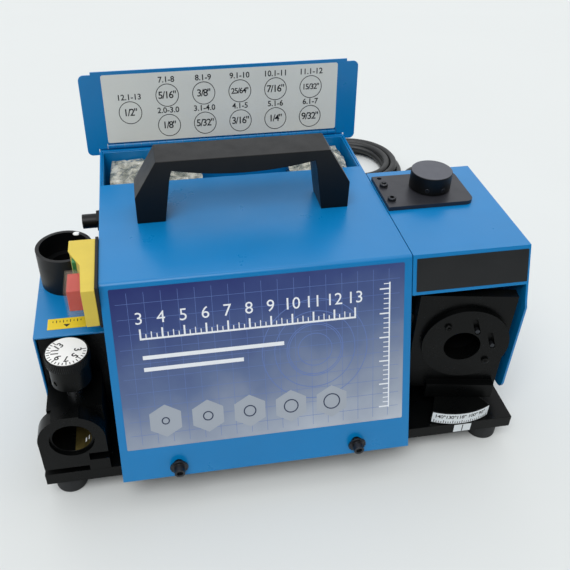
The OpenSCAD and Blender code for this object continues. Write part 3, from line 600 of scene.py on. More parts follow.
def engraved_white():
    """White engraved acetal: bright and nearly matt."""
    return printed("engraved_white", "#EDEEEC", 0.35, 0.5)


@cache
def front_vinyl():
    """Printed satin vinyl: fades from navy at the top left to pale blue-grey at the lower right."""
    material, tree, shader = new_material("front_vinyl", Roughness=0.38)
    coords = add(tree, "ShaderNodeTexCoord").outputs["Object"]
    low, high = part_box("front_label")
    split = add(tree, "ShaderNodeSeparateXYZ", Vector=coords)
    across = add(
        tree, "ShaderNodeMapRange", Value=split.outputs["X"], From_Min=low.x, From_Max=high.x, To_Min=0.0,
        To_Max=0.24,
    )
    down = add(
        tree, "ShaderNodeMapRange", Value=split.outputs["Z"], From_Min=high.z, From_Max=low.z, To_Min=0.0,
        To_Max=0.72,
    )
    fade = add(tree, "ShaderNodeMath", {"operation": "ADD"}, _0=across.outputs[0], _1=down.outputs[0])
    cloud = add(tree, "ShaderNodeTexNoise", Vector=coords, Scale=1 / (34 * MM), Detail=3.0)
    drift = add(tree, "ShaderNodeMath", {"operation": "MULTIPLY_ADD"}, _0=cloud.outputs["Fac"], _1=0.35, _2=-0.17)
    total = add(tree, "ShaderNodeMath", {"operation": "ADD"}, _0=fade.outputs[0], _1=drift.outputs[0])
    ramp = add(tree, "ShaderNodeValToRGB", _0=total.outputs[0])
    stops = [(0.0, "#1C2868"), (0.25, "#33457C"), (0.5, "#5A6D94"), (0.75, "#8E99AC"), (1.0, "#BCC4CE")]
    for spot, tint in stops[1:-1]:
        ramp.color_ramp.elements.new(spot)
    for element, (spot, tint) in zip(ramp.color_ramp.elements, stops):
        element.position = spot
        element.color = rgba(linear(tint))
    tree.links.new(ramp.outputs["Color"], shader.inputs["Base Color"])
    tree.links.new(grain_bump(tree, coords, 1.2, 0.03, 0.15), shader.inputs["Normal"])
    return material


def tile_print():
    """Silver printing ink: pale grey and even."""
    return printed("tile_print", "#9FA7B2", 0.3, 0.45)


@cache
def blacked_plate():
    """Blacked steel plate: dark grey with a soft sheen."""
    return surface("blacked_plate", linear("#34353B"), 0.32, 0.45, 14, 0.8, 0.03, metallic=0.4, tone=0.12)


@cache
def knob_top_painted_sheen():
    """Top of the feed knob: dark grey satin, a painted sheen of the sky on the black moulding, so that it stands out
    from the black grip.
    """
    return surface("knob_top_painted_sheen", linear("#4A4C55"), 0.4, 0.5, 12, 0.6, 0.03, tone=0.06)


@cache
def tag_paper():
    """Uncoated paper: cream, matt, with faint fibres."""
    return surface("tag_paper", linear("#D8D0BE"), 0.8, 0.92, 6, 0.5, 0.05, tone=0.08)


@cache
def pale_floor():
    """Matt backdrop paper: pale and even."""
    return surface("pale_floor", colours().floor, 0.85, 0.95, 300, 2.0, 0.01, tone=0.01, strength=0.05)


# finish of each material slot's nodes that keep their own shape
FINISH_OF_SLOT = {
    "blue_enamel": stove_enamel, "black_enamel": casting_enamel, "black_plastic": moulded_black,
    "foot_rubber": foot_rubber, "cord_sheath": cord_sheath, "bright_steel": turned_steel,
    "black_oxide": black_oxide, "brass": old_brass, "front_print": front_vinyl, "pale_print": scale_vinyl,
    "yellow_print": yellow_vinyl, "black_print": black_vinyl, "white_plastic": engraved_white,
    "clear_film": crinkled_film, "motor_grey": shell_paint, "cast_alloy": die_cast,
    "winding": varnished_winding, "abrasive": abrasive_grit, "switch_yellow": switch_plastic,
    "start_green": button_green, "stop_red": button_red, "boot": clear_boot,
}


# ---------------------------------------------------------------- camera and cord

class SHARPENER_OT_camera(bpy.types.Operator):
    """Sets up the camera at the front left, looking down on the machine"""

    bl_idname = "sharpener.camera"
    bl_label = "Camera"

    def execute(self, context):
        image = 570
        focal = 717.5
        middle = (258.4, 293.6)
        data = bpy.data.cameras.new("camera")
        data.sensor_width = 36
        data.lens = focal * data.sensor_width / image
        data.shift_x = (image / 2 - middle[0]) / image
        data.shift_y = (middle[1] - image / 2) / image
        camera = bpy.data.objects.new("camera", data)
        context.scene.collection.objects.link(camera)
        pitch, yaw, roll = 38.512, 9.732, 0.503
        turn = turn_about("Z", -yaw) @ turn_about("X", 90 - pitch) @ turn_about("Z", roll)
        camera.matrix_world = at(-0.07499, -0.40694, 0.40888) @ turn
        context.scene.camera = camera
        return {"FINISHED"}


# the cord as it lies, in metres: x from the middle of the cover, y from the deck's front edge, z from the base plate
CORD_FLOOR = -0.0194
GLAND_MOUTH = Vector((0.040, 0.2045, 0.022))
GLAND_ROUTE = [
    (0.040, 0.2047, 0.022), (0.040, 0.209, 0.022), (0.0405, 0.218, 0.0207), (0.042, 0.228, 0.016),
    (0.045, 0.237, 0.006), (0.048, 0.246, -0.010), (0.052, 0.255, -0.0169), (0.058, 0.264, CORD_FLOOR),
    (0.071, 0.279, CORD_FLOOR), (0.087, 0.292, CORD_FLOOR), (0.106, 0.303, CORD_FLOOR),
    (0.127, 0.311, CORD_FLOOR), (0.1525, 0.3163, CORD_FLOOR),
]
PLUG_ROUTE = [
    (0.2265, 0.3447, CORD_FLOOR), (0.234, 0.3555, CORD_FLOOR), (0.246, 0.362, CORD_FLOOR), (0.260, 0.362, CORD_FLOOR),
    (0.274, 0.357, CORD_FLOOR), (0.285, 0.346, CORD_FLOOR), (0.290, 0.331, CORD_FLOOR), (0.288, 0.315, CORD_FLOOR),
    (0.279, 0.301, CORD_FLOOR), (0.265, 0.289, -0.0184), (0.248, 0.279, -0.0145), (0.232, 0.272, -0.0085),
    (0.218, 0.2685, -0.006), (0.209, 0.268, -0.0054), (0.2042, 0.268, -0.0054),
]


class SHARPENER_OT_cord(bpy.types.Operator):
    """Lays the power cord: out of the strain relief, round the coil in two layers, and on to the plug"""

    bl_idname = "sharpener.cord"
    bl_label = "Power cord"

    def execute(self, context):
        gland_low, gland_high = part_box("cord_gland")
        coil_low, coil_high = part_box("cord_coil")
        mouth = Vector(((gland_low.x + gland_high.x) / 2, gland_high.y, (gland_low.z + gland_high.z) / 2))
        shift = mouth - GLAND_MOUTH
        radius = sizes().cord / 2
        middle = (coil_low + coil_high) / 2
        floor = CORD_FLOOR + shift.z
        outer = (coil_high.x - coil_low.x) / 2 - radius
        pitch = 2 * radius
        # two turns inwards on the floor, a rising turn against the innermost, and two turns outwards on top of them
        steps = 20
        start = math.radians(270)
        settle, lower, climb, upper = 1 / 6, 2.0, 5 / 6, 2.0
        inner = outer - lower * pitch
        soft = 0.25
        winding = []
        for step in range(1, round((settle + lower + climb + upper) * steps)):
            turn = step / steps
            rising = turn - settle - lower
            z = floor
            if turn < settle:
                r = outer + pitch / 2 - pitch / 2 * turn / settle
            elif rising < 0:
                r = outer - pitch * (turn - settle)
            elif rising < climb:
                ease = min(1, rising / soft)
                r = inner
                z += pitch * math.sqrt(2 * rising - rising ** 2) * ease * ease * (3 - 2 * ease)
            else:
                r = inner + pitch * (rising - climb)
                z += pitch
            angle = start + 2 * math.pi * turn
            winding.append(Vector((middle.x + r * math.cos(angle), middle.y + r * math.sin(angle), z)))
        # the top turn leaves over the outermost one and comes down beside it
        leaving = []
        for angle, out, rise in ((-78, 0.0575, 1.0), (-64, 0.0605, 0.95), (-52, 0.0635, 0.6), (-41, 0.0645, 0.2)):
            a = math.radians(angle)
            leaving.append(Vector((middle.x + out * math.cos(a), middle.y + out * math.sin(a), floor + rise * pitch)))
        points = [Vector(p) + shift for p in GLAND_ROUTE[:-1]] + winding + leaving
        points += [Vector(p) + shift for p in PLUG_ROUTE]
        curve = bpy.data.curves.new("power_cord_laid", "CURVE")
        curve.dimensions = "3D"
        spline = curve.splines.new("NURBS")
        spline.points.add(len(points) - 1)
        for spot, p in zip(spline.points, points):
            spot.co = (*p, 1)
        spline.order_u = 4
        spline.use_endpoint_u = True
        spline.resolution_u = 5
        curve.bevel_depth = radius
        curve.bevel_resolution = 4
        curve.use_fill_caps = True
        curve.materials.append(cord_sheath())
        cord = bpy.data.objects.new("power_cord_laid", curve)
        context.scene.collection.objects.link(cord)
        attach(cord, "machine")
        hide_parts("power_cord", "cord_coil")

        # strain relief: a flange and a ribbed taper
        bm = turned(relief_profile(radius), matrix=at(mouth.x, gland_low.y, mouth.z) @ turn_about("X", -90))
        relief = stand_for("cord_gland", bm, moulded_black())

        plug = rounded("plug", 0.6 * MM, moulded_black())
        pin_reach = 3 * MM
        pin_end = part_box("plug")[0].x + 18.8 * MM
        pin_height = PLUG_ROUTE[-1][2] + shift.z

        def on_pins(face):
            """Whether a face belongs to the plug's pins."""
            return abs(face.center.z - pin_height) < pin_reach and face.center.x < pin_end

        second_finish(plug, turned_steel(), on_pins)
        return {"FINISHED"}


def relief_profile(cord_radius):
    """Half section of the strain relief, from the cover's inside out."""
    bore = cord_radius + 0.2 * MM
    points = [
        (bore, 0), (7 * MM, 0), (7 * MM, 8 * MM), (10.4 * MM, 8 * MM), (11 * MM, 8.6 * MM), (11 * MM, 12.4 * MM),
        (10.4 * MM, 13 * MM),
    ]
    ribs = 7
    first, last = 13.2 * MM, 37 * MM
    for i in range(ribs):
        y = first + (last - first) * i / ribs
        r = 6.7 * MM - 1.4 * MM * i / ribs
        step = (last - first) / ribs
        points += [(r - 0.9 * MM, y), (r - 0.9 * MM, y + step * 0.3), (r, y + step * 0.42), (r, y + step * 0.88)]
    return points + [(5 * MM, last), (5 * MM, 38 * MM), (bore, 38 * MM), (bore, 0)]


# ---------------------------------------------------------------- cover

class SHARPENER_OT_cover(bpy.types.Operator):
    """Main cover with its front screws"""

    bl_idname = "sharpener.cover"
    bl_label = "Main cover"

    def execute(self, context):
        s = sizes()
        rounded("main_cover", s.sheet_edge, stove_enamel())
        bm = cad_copy("cover_fasteners")
        parts = [box_of(part) for part in islands(bm)]
        round_edges(bm, s.fine_edge)
        for low, high in parts:
            centre = (low + high) / 2
            washer = (high.x - low.x) / 2
            face = low.y + 5.8 * MM
            for i in range(s.washer_teeth):
                around = at(centre.x, face, centre.z) @ turn_about("Y", 360 * i / s.washer_teeth)
                tooth = around @ at(0, -0.3 * MM, washer - 0.5 * MM) @ turn_about("Z", 22.92)
                bar(bm, (0.9 * MM, 1.1 * MM, 1.4 * MM), tooth)
        stand_for("cover_fasteners", bm, black_oxide())
        return {"FINISHED"}


class SHARPENER_OT_front_label(bpy.types.Operator):
    """Front label: a fading ground with a plain size gauge, ring lines and hexagon tiles"""

    bl_idname = "sharpener.front_label"
    bl_label = "Front label"

    def execute(self, context):
        s = sizes()
        rounded("front_label", 0.8 * MM, front_vinyl(), segments=3, keep=lambda e: e.calc_length() < 2 * s.print_t)
        plane, width, height = slab_plane("front_label", s.print_t)
        wide, tall = width / MM, height / MM
        lines = bmesh.new()
        columns, rows, hairline, margin = 18, 11, 0.22, 6
        for i in range(1, columns):
            stripe(lines, plane, wide * i / columns, tall / 2, hairline, tall - margin, s.ink)
        for i in range(1, rows):
            stripe(lines, plane, wide / 2, tall * i / rows, wide - margin, hairline, s.ink)
        centre = on(plane, width * 0.68, height * 0.52)
        for r in (11, 17, 18.2, 26, 34):
            circle_line(lines, r * MM, 0.45 * MM, 1.4 * s.ink, centre, steps=56)
        piece("front_label_lines", lines, "machine", printed("line_ink", "#5F78B4"))

        # the gauge's marks stand proud of the lines by their own ink
        gauge, thick = bmesh.new(), 2 * s.ink
        foot = tall * 0.70
        first, step, smallest, largest = 16, 13.4, 3, 13
        for i in range(largest - smallest + 1):
            x = first + i * step
            words(str(i + smallest), 11 * MM, on(plane, x * MM, (foot + 12.5) * MM), gauge, thick)
            stripe(gauge, plane, x, foot + 3, 1.1, 6, thick)
            if i < largest - smallest:
                for k, mark in ((1, 2.6), (2, 4), (3, 2.6)):
                    stripe(gauge, plane, x + k * step / 4, foot + mark / 2, 0.6, mark, thick)
        stripe(gauge, plane, first + 5 * step, foot - 0.6, step * 10 + 1.1, 1.2, thick)
        for row in range(2):
            stripe(gauge, plane, 60 - 13 * row, foot - 13 - 8 * row, 88 - 26 * row, 2.6, thick)
        side = wide - 10
        for i in range(27):
            across, high = (3.4, 0.55) if i % 5 else (6, 0.9)
            stripe(gauge, plane, side - across / 2, 10 + i * 3.3, across, high, thick)
        stripe(gauge, plane, side + 0.45, 53, 0.9, 87.5, thick)
        piece("front_label_gauge", gauge, "machine", pale_ink())

        tiles, rings = bmesh.new(), bmesh.new()
        for i in range(5):
            spot = on(plane, (26 + 27 * i) * MM, height * 0.17)
            made = bmesh.ops.create_circle(tiles, cap_ends=True, segments=6, radius=11.5 * MM, matrix=spot)
            raise_face(tiles, made["verts"][0].link_faces[0], spot.to_3x3() @ Vector((0, 0, thick)))
            circle_line(rings, (3 + i) * 0.75 * MM, 0.8 * MM, s.ink, spot @ at(0, 0, thick), steps=36)
        piece("front_label_tiles", tiles, "machine", tile_print())
        piece("front_label_rings", rings, "machine", navy_ink())
        return {"FINISHED"}


class SHARPENER_OT_handle(bpy.types.Operator):
    """Carrying handle, moulded with soft edges"""

    bl_idname = "sharpener.handle"
    bl_label = "Handle"

    def execute(self, context):
        rounded("handle", sizes().moulded_edge, moulded_black(), segments=3)
        return {"FINISHED"}


# ---------------------------------------------------------------- lid and bay

# size ranges of the collets in millimetres, each with its nearest inch drill
CHART_TOP = [
    ("7.1-8", "5/16\""), ("8.1-9", "3/8\""), ("9.1-10", "25/64\""), ("10.1-11", "7/16\""), ("11.1-12", "15/32\""),
]
CHART_LOW = [
    ("2.0-3.0", "1/8\""), ("3.1-4.0", "5/32\""), ("4.1-5", "3/16\""), ("5.1-6", "1/4\""), ("6.1-7", "9/32\""),
]
CHART_LEFT = [("12.1-13", "1/2\"")]


class SHARPENER_OT_lid(bpy.types.Operator):
    """Lid with its hinge and the size chart on its inside"""

    bl_idname = "sharpener.lid"
    bl_label = "Lid"

    def execute(self, context):
        s = sizes()
        lid = cad_copy("lid_panel")
        low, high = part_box("lid_panel")
        corners = [
            e for e in lid.edges
            if e.calc_length() < 2 * MM and len(e.link_faces) == 2 and e.calc_face_angle() > 1.4
            and min(abs(v.co.x - x) for v in e.verts for x in (low.x, high.x)) < 0.5 * MM
        ]
        bevel(lid, corners, s.wing_corner, 6)
        round_edges(lid, s.sheet_edge * 0.3, angle=50)
        stand_for("lid_panel", lid, stove_enamel())
        # the panel runs down beside the hinge into the wings, and the cover's folded back edge stands up behind it
        plane = slab_plane("lid_label", s.print_t)[0]
        lean = plane.to_3x3().to_4x4()
        up, out = (lean.col[i].to_3d() for i in (1, 2))
        pin_low, pin_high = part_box("hinge_pin")
        pin = (pin_low + pin_high) / 2
        leaf = (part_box("lid_hinge_leaf")[1].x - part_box("lid_hinge_leaf")[0].x) / 2 + 0.3 * MM
        edge = (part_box("main_cover")[1].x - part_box("main_cover")[0].x) / 2
        tabs, lugs = bmesh.new(), bmesh.new()
        for side in (-1, 1):
            tab = (leaf, edge + 0.4 * MM, 3.2 * MM, -1.2 * MM)
            seam = (edge - 0.4 * MM, edge + 0.7 * MM, 6.2 * MM, 2.4 * MM)
            for first, last, above, below in (tab, seam):
                spot = pin + Vector((side * (first + last) / 2, 0, 0)) + up * (above + below) / 2 + out * 1.4 * MM
                bar(tabs, (last - first, above - below, 1.1 * MM), Matrix.Translation(spot) @ lean)
            spot = at(pin.x + side * (leaf + edge) / 2, pin_high.y + 0.9 * MM, pin.z - 1.0 * MM)
            bar(lugs, (edge - leaf, 1 * MM, 4.6 * MM), spot)
        piece("lid_corner_tabs", tabs, "lid", stove_enamel())
        round_edges(lugs, 0.3 * MM)
        piece("hinge_end_lugs", lugs, "machine", stove_enamel())
        for node in ("lid_hinge_leaf", "body_hinge_leaf"):
            rounded(node, 0.15 * MM, stove_enamel())
        rounded("lid_label", 1.5 * MM, chart_vinyl(), segments=4, keep=lambda e: e.calc_length() < 2 * s.print_t)
        chart = bmesh.new()
        radius = 8.4 * MM
        rows = [(CHART_TOP, 47.3, 34.1), (CHART_LOW, 47.3, 11.1), (CHART_LEFT, 19.0, 22.5)]
        for row, x0, y0 in rows:
            for i, (span, inch) in enumerate(row):
                spot = on(plane, (x0 + 27.4 * i) * MM, y0 * MM)
                circle_line(chart, radius, 0.55 * MM, s.ink, spot)
                words(inch, 7.6 * MM if len(inch) < 6 else 6.0 * MM, spot, chart, s.ink, 0.84, 0.1 * MM)
                words(span, 6.0 * MM, spot @ at(0, radius + 3.2 * MM, 0), chart, s.ink, 1.0, 0.1 * MM)
        piece("lid_chart_print", chart, "lid", black_ink())
        return {"FINISHED"}


class SHARPENER_OT_bay(bpy.types.Operator):
    """Storage bay: slotted collets, two crinkled film bags and a paper tag"""

    bl_idname = "sharpener.bay"
    bl_label = "Storage bay"

    def execute(self, context):
        s = sizes()
        rounded("storage_tray", 0.3 * MM, stove_enamel())
        bm = bmesh.new()
        for low, high in part_boxes("collets"):
            centre = (low + high) / 2
            slotted_collet(bm, (high.x - low.x) / 2, high.z - low.z, at(centre.x, centre.y, low.z))
        stand_for("collets", bm, turned_steel())

        bags = bmesh.new()
        for i, (low, high) in enumerate(part_boxes("collet_bags")):
            crinkled_pillow(bags, low, high, s.crinkle, 7.3 + 11 * i)
        stand_for("collet_bags", bags, crinkled_film(), smooth=50)

        low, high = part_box("storage_tray")
        tag = bmesh.new()
        made = bmesh.ops.create_grid(tag, x_segments=6, y_segments=10, size=0.5)["verts"]
        for vert in made:
            u, v = vert.co.x, vert.co.y
            vert.co = Vector((8.5 * u + 3 * v, 0.6 * math.sin(3 * v) + 3 * v, 15 * v)) * MM
        bmesh.ops.solidify(tag, geom=tag.faces[:], thickness=0.25 * MM)
        bmesh.ops.translate(tag, vec=(low.x + 41 * MM, high.y - 4.5 * MM, high.z - 7.4 * MM), verts=tag.verts)
        piece("paper_tag", tag, "machine", tag_paper())
        return {"FINISHED"}


def slotted_collet(bm, radius, length, matrix, slots=8):
    """A spring collet: a taper with a ringed nose, cut into fingers by narrow slots."""
    outline = [
        (3.2 * MM, 0.25), (3.2 * MM, 0.98), (4.2 * MM, 1.0), (radius - 2 * MM, 1.0), (radius, 0.81),
        (radius - 0.3 * MM, 0.79), (radius - 1.6 * MM, 0.79), (radius - 1.6 * MM, 0.74), (radius - 0.4 * MM, 0.71),
        (radius - 2.6 * MM, 0.25),
    ]
    cut = math.radians(7)
    step = 2 * math.pi / slots
    for i in range(slots):
        finger = bmesh.new()
        verts = [finger.verts.new((r, 0, z * length)) for r, z in outline]
        face = finger.faces.new(verts)
        bmesh.ops.rotate(finger, matrix=Matrix.Rotation(i * step + cut / 2, 3, "Z"), verts=verts, cent=(0, 0, 0))
        bmesh.ops.spin(
            finger, geom=[face, *face.edges, *verts], cent=(0, 0, 0), axis=(0, 0, 1), angle=step - cut, steps=4,
            use_merge=False, use_duplicate=False,
        )
        bmesh.ops.recalc_face_normals(finger, faces=finger.faces)
        bmesh.ops.transform(finger, matrix=matrix, verts=finger.verts)
        add_into(bm, finger)
    skirt = [
        (3 * MM, 0), (radius - 3.5 * MM, 0), (radius - 2.6 * MM, 0.25 * length), (3 * MM, 0.25 * length), (3 * MM, 0),
    ]
    add_into(bm, turned(skirt, 32, matrix))


def crinkled_pillow(bm, low, high, crease, seed):
    """A bag of thin film between two corners: crowned, drawn in at its ends and creased all over."""
    made = bmesh.ops.create_grid(bm, x_segments=72, y_segments=44, size=0.5)["verts"]
    copied = bmesh.ops.duplicate(bm, geom=list(dict.fromkeys(f for v in made for f in v.link_faces)) + made)["geom"]
    under = [g for g in copied if isinstance(g, bmesh.types.BMVert)]
    bmesh.ops.reverse_faces(bm, faces=[g for g in copied if isinstance(g, bmesh.types.BMFace)])
    size = high - low
    middle = (low + high) / 2
    for side, verts in ((1, made), (-1, under)):
        for vert in verts:
            u, v = 2 * vert.co.x, 2 * vert.co.y
            crown = max(0, (1 - abs(u) ** 3.2) * (1 - abs(v) ** 3.2)) ** 0.6
            place_at = Vector((u * size.x, v * size.y, seed * MM * 40)) * 0.5
            folds = 1 - 2 * abs(noise.noise(place_at / (8 * MM) + Vector((side, seed, 0))))
            fine = 1 - 2 * abs(noise.noise(place_at / (3.6 * MM) + Vector((seed, side, 2))))
            wander = Vector([noise.noise(place_at / (14 * MM) + Vector((0, 0, 31 * i))) for i in (1, 2)]) * 1.4 * MM
            lift = side * crown * (size.z / 2 - crease) + (0.7 * folds + 0.3 * fine - 0.4) * crease * (0.35 + crown)
            vert.co = Vector((
                middle.x + u * size.x / 2 * (1 - 0.05 * v * v) + wander.x,
                middle.y + v * size.y / 2 * (1 - 0.06 * u * u) + wander.y * 0.6,
                middle.z + lift,
            ))
    edge = [v for v in bm.verts if any(len(e.link_faces) == 1 for e in v.link_edges)]
    for vert in edge:
        vert.co.z = middle.z + 1.2 * MM * noise.noise(Vector((vert.co.x, vert.co.y, 0)) / (6 * MM))
    bmesh.ops.remove_doubles(bm, verts=edge, dist=0.05 * MM)


# ---------------------------------------------------------------- left side

class SHARPENER_OT_left_side(bpy.types.Operator):
    """Left hood, the thinning cup on it and the bracket behind the dial"""

    bl_idname = "sharpener.left_side"
    bl_label = "Left side"

    def execute(self, context):
        s = sizes()
        rounded("left_hood", s.sheet_edge * 0.6, stove_enamel())
        rounded("left_bracket", s.cast_edge, casting_enamel())
        rounded("thinning_cup", 0.7 * MM, moulded_black(), segments=3)
        rounded("fuse_holder", 0.6 * MM, moulded_black())

        _, cup_high, centre, rim = round_part("thinning_cup")
        # a small flattened white spot on the cup's rim
        pin = bmesh.new()
        angle, reach = math.radians(62), rim - 2.2 * MM
        spot = at(centre.x + reach * math.cos(angle), centre.y + reach * math.sin(angle), cup_high.z - 0.6 * MM)
        flat = spot @ Matrix.Diagonal((1.2, 1.0, 0.5, 1))
        bmesh.ops.create_uvsphere(pin, u_segments=16, v_segments=8, radius=2.1 * MM, matrix=flat)
        piece("cup_rim_white_spot", pin, "machine", engraved_white())

        sticker = stand_for("small_labels", cad_copy("small_labels"), yellow_vinyl())
        second_finish(sticker, scale_vinyl(), lambda face: face.center.x > 0)
        label_low, label_high = box_of([v for v in sticker.data.vertices if v.co.x < 0])
        pointer_low, pointer_high = box_of([v for v in sticker.data.vertices if v.co.x > 0])
        ink = bmesh.new()
        mid_x, mid_y, _ = (label_low + label_high) / 2
        top = label_high.z
        spot = at(mid_x, mid_y - 1.8 * MM, top + s.ink / 2) @ turn_about("Z", 180) @ Matrix.Diagonal((1.1, 0.8, 1, 1))
        mark = bmesh.ops.create_circle(ink, cap_ends=True, segments=3, radius=2.3 * MM, matrix=spot)
        bmesh.ops.solidify(ink, geom=[mark["verts"][0].link_faces[0]], thickness=s.ink)
        for i in range(9):
            tall = (2.6 if i % 2 else 1.6) * MM
            bar(ink, (0.5 * MM, tall, s.ink), at(mid_x + (i - 4) * 2.2 * MM, mid_y + 2.2 * MM, top + s.ink / 2))
        centre_x, _, centre_z = (pointer_low + pointer_high) / 2
        bar(ink, (0.7 * MM, s.ink, 6.4 * MM), at(centre_x, pointer_low.y - s.ink / 2, centre_z))
        piece("small_label_print", ink, "machine", black_ink())
        return {"FINISHED"}


class SHARPENER_OT_dial(bpy.types.Operator):
    """Diameter dial with a knurled head and a graduated white face"""

    bl_idname = "sharpener.dial"
    bl_label = "Dial"

    def execute(self, context):
        s = sizes()
        rounded("dial_knob", s.fine_edge, casting_enamel())
        rounded("dial_face", 0.15 * MM, engraved_white())
        low, high, centre, radius = round_part("dial_face")
        head = round_part("dial_knob")[3]
        grip = bmesh.new()
        knurl(grip, head + s.knurl_depth / 2, s.knurl_depth, s.knurl_teeth, low.z - 5.6 * MM, low.z - 0.5 * MM)
        bmesh.ops.translate(grip, vec=(centre.x, centre.y, 0), verts=grip.verts)
        piece("dial_knurl", grip, "dial", casting_enamel(), smooth=20)
        marks = bmesh.new()
        first, step = 134, 11.5
        for i, figure in enumerate(("13", "11", "9", "7", "5", "3")):
            spot = at(centre.x, centre.y, high.z) @ turn_about("Z", first + 4 * step * i) @ at(radius * 0.54, 0, 0)
            words(figure, 6.4 * MM, spot @ turn_about("Z", -90), marks, s.ink, 0.9, 0.14 * MM)
        for i in range(21):
            inner, outer = (0.74, 0.97) if i % 4 == 0 else (0.82, 0.97)
            spot = at(centre.x, centre.y, high.z + s.ink / 2) @ turn_about("Z", first + step * i)
            bar(marks, (radius * (outer - inner), 0.6 * MM, s.ink), spot @ at(radius * (outer + inner) / 2, 0, 0))
        piece("dial_figures", marks, "dial", black_ink())
        return {"FINISHED"}


class SHARPENER_OT_setting_port(bpy.types.Operator):
    """Setting port: the ringed block and the sleeve in it"""

    bl_idname = "sharpener.setting_port"
    bl_label = "Setting port"

    def execute(self, context):
        s = sizes()
        rounded("setting_block", s.cast_edge, casting_enamel())
        sleeve = rounded("setting_sleeve", s.fine_edge, casting_enamel())
        low, _, centre, _ = round_part("setting_sleeve")

        def brass_where_lit(face):
            """Whether a face looks inwards, lies past the mouth and is right of the bore's middle, where the bore is
            lit and shows its brass.
            """
            inward = (centre.x - face.center.x) * face.normal.x + (centre.z - face.center.z) * face.normal.z
            return inward > 0 and face.center.y > low.y + 2 * MM and face.center.x > centre.x

        # the sleeve's other inner faces keep the black enamel: painted shade in the left half of the brass bore
        second_finish(sleeve, old_brass(), brass_where_lit)
        marks = bmesh.new()
        bore = min(math.hypot(v.co.x - centre.x, v.co.z - centre.z) for v in sleeve.data.vertices)
        for angle in (-38, -52):
            spot = at(centre.x, low.y + 6 * MM, centre.z) @ turn_about("Y", -angle)
            bar(marks, (s.ink * 2, 3.2 * MM, 1.2 * MM), spot @ at(bore - s.ink, 0, 0))
        piece("sleeve_marks", marks, "machine", pale_ink())
        return {"FINISHED"}


# ---------------------------------------------------------------- right side

class SHARPENER_OT_right_side(bpy.types.Operator):
    """Right hood with its plaque, the feed plate and the feed knob"""

    bl_idname = "sharpener.right_side"
    bl_label = "Right side"

    def execute(self, context):
        s = sizes()
        rounded("right_hood", s.sheet_edge * 0.6, stove_enamel())
        rounded("hood_plaque", 0.6 * MM, black_vinyl(), segments=3, keep=lambda e: e.calc_length() < 2 * s.print_t)
        rounded("feed_plate", s.cast_edge, blacked_plate())

        knob = rounded("feed_knob", 0.7 * MM, moulded_black(), segments=3)
        low, high, centre, radius = round_part("feed_knob")
        # the knob's top faces get a dark grey: painted sheen of the sky on its black top
        second_finish(knob, knob_top_painted_sheen(), lambda face: face.center.z > high.z - 0.2 * MM)
        grubs = bmesh.new()
        for angle in (-118, -72):
            turn = at(centre.x, centre.y, low.z + 3.6 * MM) @ turn_about("Z", angle) @ turn_about("Y", 90)
            socket_head(grubs, 1.6 * MM, 1.2 * MM, 0.8 * MM, turn @ at(0, 0, radius - 0.9 * MM), steps=16)
        piece("feed_knob_grubs", grubs, "feed_knob", black_oxide())

        bm = cad_copy("screws")
        plate_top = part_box("feed_plate")[1].z
        for part in islands(bm):
            part_low, part_high = box_of(part)
            if part_high.z > plate_top:
                spot = at((part_low.x + part_high.x) / 2, (part_low.y + part_high.y) / 2, plate_top)
                bmesh.ops.delete(bm, geom=part, context="VERTS")
                socket_head(bm, 2.9 * MM, part_high.z - plate_top, 1.6 * MM, spot)
                shank = [(0, -8 * MM), (1.6 * MM, -8 * MM), (1.6 * MM, -0.05 * MM), (0, -0.05 * MM)]
                add_into(bm, turned(shank, 20, spot))
        screws = stand_for("screws", bm, turned_steel())
        second_finish(screws, black_oxide(), lambda face: face.center.z > plate_top - 0.01 * MM)
        return {"FINISHED"}


